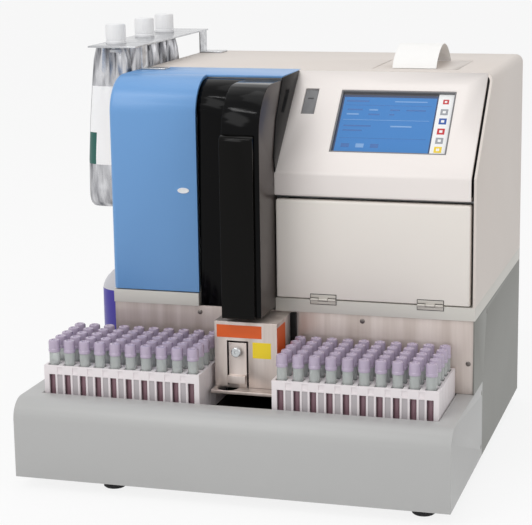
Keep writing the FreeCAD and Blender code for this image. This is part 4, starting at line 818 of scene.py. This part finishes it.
# %% Bottle
bottle_low, bottle_high = corners("wash_bottle")
bottle_middle = (bottle_low + bottle_high) / 2
BOTTLE_R, BOTTLE_NECK_R = (bottle_high[0] - bottle_low[0]) / 2 - 0.3, 14.6
LABEL_LOW, LABEL_HIGH = 133.0, 187.0
foot, neck_top = bottle_low[2], bottle_high[2]
bottle_rows = [
    (0, foot + 1.5), (BOTTLE_R - 9, foot), (BOTTLE_R - 3, foot + 0.6), (BOTTLE_R - 0.6, foot + 3),
    (BOTTLE_R, foot + 7), (BOTTLE_R, LABEL_LOW - 4), (BOTTLE_R - 0.5, LABEL_LOW - 3),
    (BOTTLE_R - 0.5, LABEL_LOW), (BOTTLE_R - 0.4, LABEL_LOW + 0.3), (BOTTLE_R - 0.4, LABEL_HIGH - 0.3),
    (BOTTLE_R - 0.5, LABEL_HIGH), (BOTTLE_R - 1.2, LABEL_HIGH + 3), (BOTTLE_R - 3.2, LABEL_HIGH + 8),
    (BOTTLE_R - 7, LABEL_HIGH + 14), (BOTTLE_R - 13, LABEL_HIGH + 20), (BOTTLE_R - 18, LABEL_HIGH + 24),
    (15.5, LABEL_HIGH + 27), (BOTTLE_NECK_R, LABEL_HIGH + 29), (BOTTLE_NECK_R, neck_top), (0, neck_top)]
LABEL_ROW = 8
row_paint = [int(row == LABEL_ROW) for row in range(len(bottle_rows) - 1)]
piece("bottle", turned(bottle_rows, (bottle_middle[0], bottle_middle[1], 0), sides=64, paint=row_paint),
      [BOTTLE, LABEL_VIOLET], instead=("wash_bottle",))
lid_low, lid_high = corners("bottle_cap")
lid_middle, lid_r = (lid_low + lid_high) / 2, (lid_high[0] - lid_low[0]) / 2
lid_foot, lid_head = lid_low[2], lid_high[2]
piece("bottle_screw_cap",
      turned([(0, lid_foot), (lid_r - 0.6, lid_foot), (lid_r, lid_foot + 0.8), (lid_r, lid_foot + 2.6),
              (lid_r - 0.5, lid_foot + 3.2), (lid_r - 0.2, lid_foot + 4), (lid_r - 0.4, lid_head - 2),
              (lid_r - 1.6, lid_head), (0, lid_head)],
             (lid_middle[0], lid_middle[1], 0), sides=48, flute=0.5, fluted=(5, 6)),
      WHITE_PLASTIC, instead=("bottle_cap",))

# %% [markdown]
# ## Screen on the slope
# The panel leans back, so its parts are drawn flat, across and up the slope, and
# then laid on it. The display is a blue field behind glass with a dark edge, and a
# white strip of touch keys at its right. The edge is wider at the left and top, and a
# darker band runs above it: the bezel's shadow, painted on the glass. Every mark is a
# plain generic bar or square: nothing on it reads as a word.

# %% Slope frame
panel_low, panel_high = corners("operator_panel")
SLOPE_FALL, SLOPE_HEAD_Y = 111.0, 7.5
SLOPE_FOOT = np.array([0.0, panel_low[1], panel_high[2] - SLOPE_FALL])
SLOPE_HEAD = np.array([0.0, SLOPE_HEAD_Y, panel_high[2]])
UP_SLOPE = (SLOPE_HEAD - SLOPE_FOOT) / np.linalg.norm(SLOPE_HEAD - SLOPE_FOOT)
OUT_OF_SLOPE = np.array([0.0, -UP_SLOPE[2], UP_SLOPE[1]])
GLASS_FACE, GLASS_THICK = -3.4, 1.5
FIELD, RIM_AND_SHADOW, KEY_STRIP, TOP_PAINTED_SHADOW = range(4)
# The lines that part the rim, the field, the key strip and the top band of painted shadow.
ACROSS_LINES = np.array([84.2, 86.6, 201.2, 203.0, 221.8])
UP_LINES = np.array([36.2, 38.0, 121.4, 124.6, 127.8])


def on_slope(item):
    """A shape drawn as (across, up the slope, outwards) laid on the panel."""
    flat = item["points"]
    laid = np.outer(flat[:, 0], (1, 0, 0)) + np.outer(flat[:, 1], UP_SLOPE)
    return {**item, "points": laid + np.outer(flat[:, 2], OUT_OF_SLOPE) + SLOPE_FOOT}


# The rim is the display's dark edge, and at the left and top it is also the bezel's painted shadow; the
# top band is painted shadow.
tone = np.full((len(ACROSS_LINES) - 1, len(UP_LINES) - 1, 1), RIM_AND_SHADOW)
tone[1, 1, 0] = FIELD
tone[3, :, 0] = KEY_STRIP
tone[:3, 3, 0] = TOP_PAINTED_SHADOW
glass_block = cells(ACROSS_LINES, UP_LINES, [GLASS_FACE - GLASS_THICK, GLASS_FACE],
                    np.ones(tone.shape, bool), tone)
piece("display_glass", on_slope(glass_block), [SCREEN_BLUE, SCREEN_EDGE_AND_SHADOW, KEY_WHITE, BEZEL_PAINTED_SHADOW],
      instead=("touch_screen",), edge=0.2, flat=True)

# %% Screen marks and keys
MARKS = [(90, 118, 114, 116.4), (150, 190, 114.5, 116), (90, 196, 108.6, 109.2), (93, 112, 101, 103),
         (120, 131, 101, 103), (146, 158, 101, 103), (166, 190, 101, 103), (93, 108, 94, 96),
         (120, 134, 94, 96), (146, 152, 94, 96), (90, 196, 86, 86.6), (92, 126, 76, 78),
         (92, 116, 69, 71), (150, 176, 76, 78), (90, 196, 58, 58.6), (94, 104, 44, 50),
         (112, 122, 44, 50), (130, 140, 44, 50)]
MARK_RISE, KEY_RISE, PRINT_SINK = 0.08, 0.12, 0.1
mark_shapes = [soft_box((left, foot, GLASS_FACE - PRINT_SINK), (right, head, GLASS_FACE + MARK_RISE),
                        0.04, 1, paint=number % 3 == 1)
               for number, (left, right, foot, head) in enumerate(MARKS)]
piece("screen_marks", on_slope(joined(*mark_shapes)), [SCREEN_DARK, SCREEN_PALE])
KEY_X, KEY_HALF, TOP_KEY_HALF, KEY_MARK = 212.4, 4.6, 3.6, 0.42
KEYS = [(116.4, 1), (100.7, 2), (86.6, 0), (71.2, 1), (57.3, 2), (43.7, 3)]
MARK_SLOT = 4
key_shapes = []
for number, (level, slot) in enumerate(KEYS):
    half = KEY_HALF if number else TOP_KEY_HALF
    inner = half * KEY_MARK
    key_shapes += [soft_box((KEY_X - half, level - half, GLASS_FACE - PRINT_SINK),
                            (KEY_X + half, level + half, GLASS_FACE + KEY_RISE), 0.1, 1, paint=slot),
                   soft_box((KEY_X - inner, level - inner, GLASS_FACE),
                            (KEY_X + inner, level + inner, GLASS_FACE + 0.2), 0.1, 1, paint=MARK_SLOT)]
piece("touch_keys", on_slope(joined(*key_shapes)),
      [KEY_BLUE, KEY_RED, KEY_GREY, KEY_YELLOW, KEY_WHITE])

# %% [markdown]
# ## Small fittings
# Blank stickers, an oval badge, the hatch's thumbscrew, the two butt hinges, the
# feet and the screw heads are small, but they catch the eye at close range. Each
# stands on the face that carries it.

# %% Stickers and badge
station_low, station_high = corners("sampling_station")
STICKER, UNDER, ORANGE, YELLOW = 0.25, 0.1, 0, 1
front, cheek_side = station_low[1], station_high[0]
piece("station_stickers", joined(
    soft_box((-36, front - STICKER, 180), (20, front + UNDER, 195.5), 0.1, 1, ORANGE),
    soft_box((8.6, front - STICKER, 156), (31.4, front + UNDER, 175.4), 0.1, 1, YELLOW),
    soft_box((cheek_side - UNDER, -167, 150), (cheek_side + STICKER, -132, 194), 0.1, 1, ORANGE)),
    [STICKER_ORANGE, STICKER_YELLOW])


def oval_plate(centre, wide, high, front, back, count=40):
    """A flat oval: ellipses from the back over a rounded rim to a slightly sunk field."""
    angle = np.arange(count) * 2 * math.pi / count
    rings = [(1.0, back), (1.0, front + 0.3), (0.94, front), (0.70, front), (0.66, front + 0.25)]
    points = np.stack([np.stack([centre[0] + wide / 2 * share * np.cos(angle),
                                 np.full(count, depth), centre[1] + high / 2 * share * np.sin(angle)],
                                axis=-1) for share, depth in rings])
    caps = [np.arange(count)[::-1], np.arange(count) + (len(rings) - 1) * count]
    return shape(points, list(grid_faces(len(rings), count)) + caps)


BADGE_PLACE, BADGE_WIDE, BADGE_HIGH, BADGE_OUT, BADGE_IN = (-95, 345), 15, 7, 0.8, 0.5
door_face = corners("left_door")[0][1]
piece("door_badge", oval_plate(BADGE_PLACE, BADGE_WIDE, BADGE_HIGH, door_face - BADGE_OUT,
                               door_face + BADGE_IN),
      WHITE_PLASTIC, body="left_door")

# %% Thumbscrew and feet
knob_low, knob_high = corners("hatch_thumbscrew")
knob_middle, knob_r = (knob_low + knob_high) / 2, (knob_high[0] - knob_low[0]) / 2
piece("hatch_knob", turned(
    [(0, 1.6), (1.7, 1.6), (2.1, 0.2), (knob_r - 1.2, 0), (knob_r - 0.3, 0.7), (knob_r, 1.2),
     (knob_r, 4.6), (knob_r - 0.6, 5.8), (3.6, 6), (3.6, 8), (0, 8)],
    (knob_middle[0], knob_low[1], knob_middle[2]), axis="y", sides=40, flute=0.35, fluted=(5, 6)),
    BRIGHT_METAL, instead=("hatch_thumbscrew",))
FOOT_R = 15.0
feet_low, feet_high = corners("feet")
one_foot = turned([(0, 0), (FOOT_R - 3, 0), (FOOT_R - 1.4, 1.4), (FOOT_R - 1.4, 5), (FOOT_R - 2, 5.6),
                   (FOOT_R - 0.2, 7), (FOOT_R, feet_high[2]), (0, feet_high[2])], (0, 0, 0), sides=36)
foot_places = [(x, y, 0) for x in (feet_low[0] + FOOT_R, feet_high[0] - FOOT_R)
               for y in (feet_low[1] + FOOT_R, feet_high[1] - FOOT_R)]
piece("rubber_feet", copies(one_foot, foot_places), RUBBER, instead=("feet",))

# %% [markdown]
# A pan-head screw is a low dome with a recess for the driver. Here the crown has a
# small hole, and every other side of its rim is drawn in, which reads as the
# recess at this size.

# %% Screw heads


def screw_head(place, axis, out):
    """A low dome of radius 3: its rows run from the seat to the crown, in the direction out."""
    rows = [(0, 0), (3.0, 0), (3.0, 0.45), (2.5, 0.95), (1.6, 1.18), (0.8, 1.2), (0.5, 0.8), (0, 0.8)]
    return turned([(radius, rise * out) for radius, rise in rows], place, axis, 24, flute=0.5,
                  fluted=(5,))


BAY_SCREWS = ((-78, 193), (128, 193), (257, 148))
SIDE_SCREWS = ((-51.5, 97), (-51.5, 28), (-19.5, 193))
SIDE_SEAT = 1.2
bay_face = corners("bay_back_plate")[0][1]
side_face = corners("side_panels")[1][0] - SIDE_SEAT
screw_shapes = [screw_head((x, bay_face, z), "y", -1) for x, z in BAY_SCREWS]
screw_shapes += [screw_head((side_face, y, z), "x", 1) for y, z in SIDE_SCREWS]
piece("screw_heads", joined(*screw_shapes), SCREW_STEEL,
      instead=("cover_screws",))

# %% [markdown]
# A butt hinge is two leaves and a pin. The rolled eyes of the shelf's leaf stand
# at both ends of the pin, and the door's eye is between them. Under each leaf a
# thin dark plate, a little larger, draws the gap that outlines it and paints the
# shadow in that gap.

# %% Hinges
HINGE_STARTS, LEAF, LEAF_THICK, PIN_OUT, PIN_DROP = (65.0, 196.0), 31.0, 0.9, 1.6, 0.75
END_EYE, END_EYE_STEP, MIDDLE_EYE, MIDDLE_EYE_STEP = 9.5, 21.5, 11.2, 9.9
HINGE_FACE = corners("instrument_shelf")[0][1]
PIN_Y, PIN_Z = HINGE_FACE - PIN_OUT, corners("lower_door")[0][2] - PIN_DROP


def leaf(start, low, high, gap=0.8):
    """A leaf between two heights from the pin, on its dark plate, which paints the gap and its shadow.
    """
    return [soft_box((start, HINGE_FACE - LEAF_THICK, PIN_Z + low),
                     (start + LEAF, HINGE_FACE, PIN_Z + high), 0.25, 2),
            soft_box((start - gap, HINGE_FACE - 0.25, PIN_Z + low - gap),
                     (start + LEAF + gap, HINGE_FACE + 0.1, PIN_Z + high + gap), 0.1, 1, paint=1)]


def eye(start, length, low, high):
    """A rolled eye about the pin, and the web between two heights that joins it to its leaf."""
    return [rod((start, PIN_Y, PIN_Z), length, PIN_OUT, "x"),
            soft_box((start, HINGE_FACE - PIN_OUT, PIN_Z + low),
                     (start + length, HINGE_FACE - 0.4, PIN_Z + high), 0.2, 1)]


fixed_shapes, moving_shapes = [], []
for start in HINGE_STARTS:
    fixed_shapes += leaf(start, -5.5, -2.2) + eye(start, END_EYE, -3, 0)
    fixed_shapes += eye(start + END_EYE_STEP, END_EYE, -3, 0)
    moving_shapes += leaf(start, 2.2, 6) + eye(start + MIDDLE_EYE_STEP, MIDDLE_EYE, 0, 3)
piece("hinge_fixed", joined(*fixed_shapes), [HINGE, RUBBER],
      instead=("hinge_leaves_shelf",))
piece("hinge_moving", joined(*moving_shapes), [HINGE, RUBBER], body="lower_door",
      instead=("hinge_leaves_door",))

# %% [markdown]
# ## Printer paper
# A strip of thermal paper comes out of the slot and curls over the lid. It is a
# thin band swept along a smooth arch, and the roll below it is a turned ring.

# %% Paper
PAPER_THICK, ARCH_FLATNESS = 0.35, 0.72


def paper_arch(low, high, level, steps=40):
    """An arch from the slot over to the back: height is half a sine to a power under one.

    Each side of the sheet is half its thickness from that line, square to it.
    """
    share = np.linspace(0, 1, steps)
    y = low[1] + 0.6 + (high[1] - low[1] - 1.2) * share
    z = level + 0.4 + (high[2] - level - 1.2) * np.sin(math.pi * share) ** ARCH_FLATNESS
    along = np.gradient(np.stack([y, z], axis=-1), axis=0)
    along /= np.linalg.norm(along, axis=1)[:, None]
    out = np.stack([-along[:, 1], along[:, 0]], axis=-1) * PAPER_THICK / 2
    line = np.stack([y, z], axis=-1)
    ring = np.concatenate([line + out, (line - out)[::-1]])
    return swept_outline(ring, "x", low[0] + 0.2, high[0] - 0.2)


piece("paper_curl", paper_arch(*corners("paper_strip"), corners("printer_lid")[1][2]), PAPER,
      body=body_of("paper_strip"), instead=("paper_strip",))
SPOOL_HOLE_R = 6
roll_low, roll_high = corners("paper_roll")
roll_middle, roll_r = (roll_low + roll_high) / 2, (roll_high[1] - roll_low[1]) / 2
roll_long = roll_high[0] - roll_low[0]
piece("paper_spool", turned([(SPOOL_HOLE_R, 0), (roll_r - 0.4, 0), (roll_r, 0.4),
                             (roll_r, roll_long - 0.4), (roll_r - 0.4, roll_long),
                             (SPOOL_HOLE_R, roll_long), (SPOOL_HOLE_R, 0)],
                            (roll_low[0], roll_middle[1], roll_middle[2]), "x", 48),
      PAPER, instead=("paper_roll",))

# %% [markdown]
# ## Nodes that keep their CAD mesh
# Parts deep inside are right as they are. They keep their mesh and only get a
# finish.

# %% Finishes on the remaining nodes
KEPT = {"lower_chassis": FRAME_STEEL, "inner_frame": FRAME_STEEL, "bay_frame": FRAME_STEEL,
        "analytical_column": BRIGHT_METAL, "sampling_needle": BRIGHT_METAL}
for node, material in KEPT.items():
    data = frame["nodes"][node].data
    data.materials.clear()
    data.materials.append(material)
missing = [name for name, item in frame["nodes"].items()
           if name not in KEPT and name not in COVERS and not item.hide_render]
print("nodes without a finish:", missing)

# %% [markdown]
# ## Floor, light and backdrop
# A pale floor keeps a soft shadow. Three large soft lamps, one strip and a dim
# white world light the machine so that a colour renders about as it is written.
# Camera, mirror and glass rays see a white backdrop, which adds no light to the
# object.

# %% Stage
WHITE = (1.0, 1.0, 1.0, 1.0)
FLOOR, FLOOR_GREY, FLOOR_ROUGH, FLOOR_WHITE_SHARE, WORLD_STRENGTH = 30.0, 0.86, 0.7, 0.85, 0.55


def backdrop_mix(tree, shader, white, strength):
    """Where a camera, mirror or glass ray looks, mix in the plain white shader by a share."""
    white.inputs[0].default_value = WHITE
    white.inputs[1].default_value = 1.0
    rays = tree.nodes.new("ShaderNodeLightPath").outputs
    seen = arithmetic(tree, "MAXIMUM", rays["Is Camera Ray"], rays["Is Glossy Ray"])
    seen = arithmetic(tree, "MAXIMUM", seen, rays["Is Transmission Ray"])
    mix = tree.nodes.new("ShaderNodeMixShader")
    tree.links.new(arithmetic(tree, "MULTIPLY", seen, strength), mix.inputs[0])
    tree.links.new(shader.outputs[0], mix.inputs[1])
    tree.links.new(white.outputs[0], mix.inputs[2])
    return mix.outputs[0]


world = bpy.data.worlds.new("room")
bpy.context.scene.world = world
world.use_nodes = True
sky_nodes = world.node_tree.nodes
sky = sky_nodes["Background"]
sky.inputs[0].default_value = WHITE
sky.inputs[1].default_value = WORLD_STRENGTH
room = backdrop_mix(world.node_tree, sky, sky_nodes.new("ShaderNodeBackground"), 1.0)
world.node_tree.links.new(room, sky_nodes["World Output"].inputs["Surface"])

floor_mesh = bpy.data.meshes.new("bench_floor")
floor_mesh.from_pydata([(-FLOOR, -FLOOR, 0), (FLOOR, -FLOOR, 0), (FLOOR, FLOOR, 0), (-FLOOR, FLOOR, 0)],
                       [], [(0, 1, 2, 3)])
floor_look = bpy.data.materials.new("pale_floor")
floor_look.use_nodes = True
floor_nodes = floor_look.node_tree.nodes
floor_shader = floor_nodes["Principled BSDF"]
floor_shader.inputs["Base Color"].default_value = (FLOOR_GREY, FLOOR_GREY, FLOOR_GREY, 1)
floor_shader.inputs["Roughness"].default_value = FLOOR_ROUGH
floor_mix = backdrop_mix(floor_look.node_tree, floor_shader, floor_nodes.new("ShaderNodeEmission"),
                         FLOOR_WHITE_SHARE)
floor_look.node_tree.links.new(floor_mix, floor_nodes["Material Output"].inputs["Surface"])
floor_mesh.materials.append(floor_look)
floor = bpy.data.objects.new("bench_floor", floor_mesh)
bpy.context.scene.collection.objects.link(floor)


def soft_lamp(name, place, wide, high, power, aim=(0.0, 0.0, 0.25)):
    """A rectangular lamp that faces a point; a narrow one draws a crisp line on gloss."""
    lamp = bpy.data.lights.new(name, "AREA")
    lamp.shape, lamp.size, lamp.size_y, lamp.energy = "RECTANGLE", wide, high, power
    item = bpy.data.objects.new(name, lamp)
    bpy.context.scene.collection.objects.link(item)
    back = np.array(place) - np.array(aim)
    back /= np.linalg.norm(back)
    side = np.cross((0.0, 0.0, 1.0), back)
    side /= np.linalg.norm(side)
    pose = np.eye(4)
    pose[:3, 0], pose[:3, 1], pose[:3, 2], pose[:3, 3] = side, np.cross(back, side), back, place
    item.matrix_world = pose.T.tolist()


# Each lamp's place, width and height in metres, and its power in watts.
LAMPS = {"key": ((-1.4, -2.7, 2.2), 1.6, 1.6, 22), "fill": ((2.4, -1.6, 1.6), 1.6, 1.6, 8),
         "top": ((0.1, 0.4, 2.8), 1.8, 1.8, 10)}
for name, (place, wide, high, power) in LAMPS.items():
    soft_lamp(name, place, wide, high, power)
soft_lamp("strip", (-0.75, -1.5, 2.7), 1.8, 0.07, 14, aim=(-0.75, 0.0, 0.25))
print("four lamps and a floor")
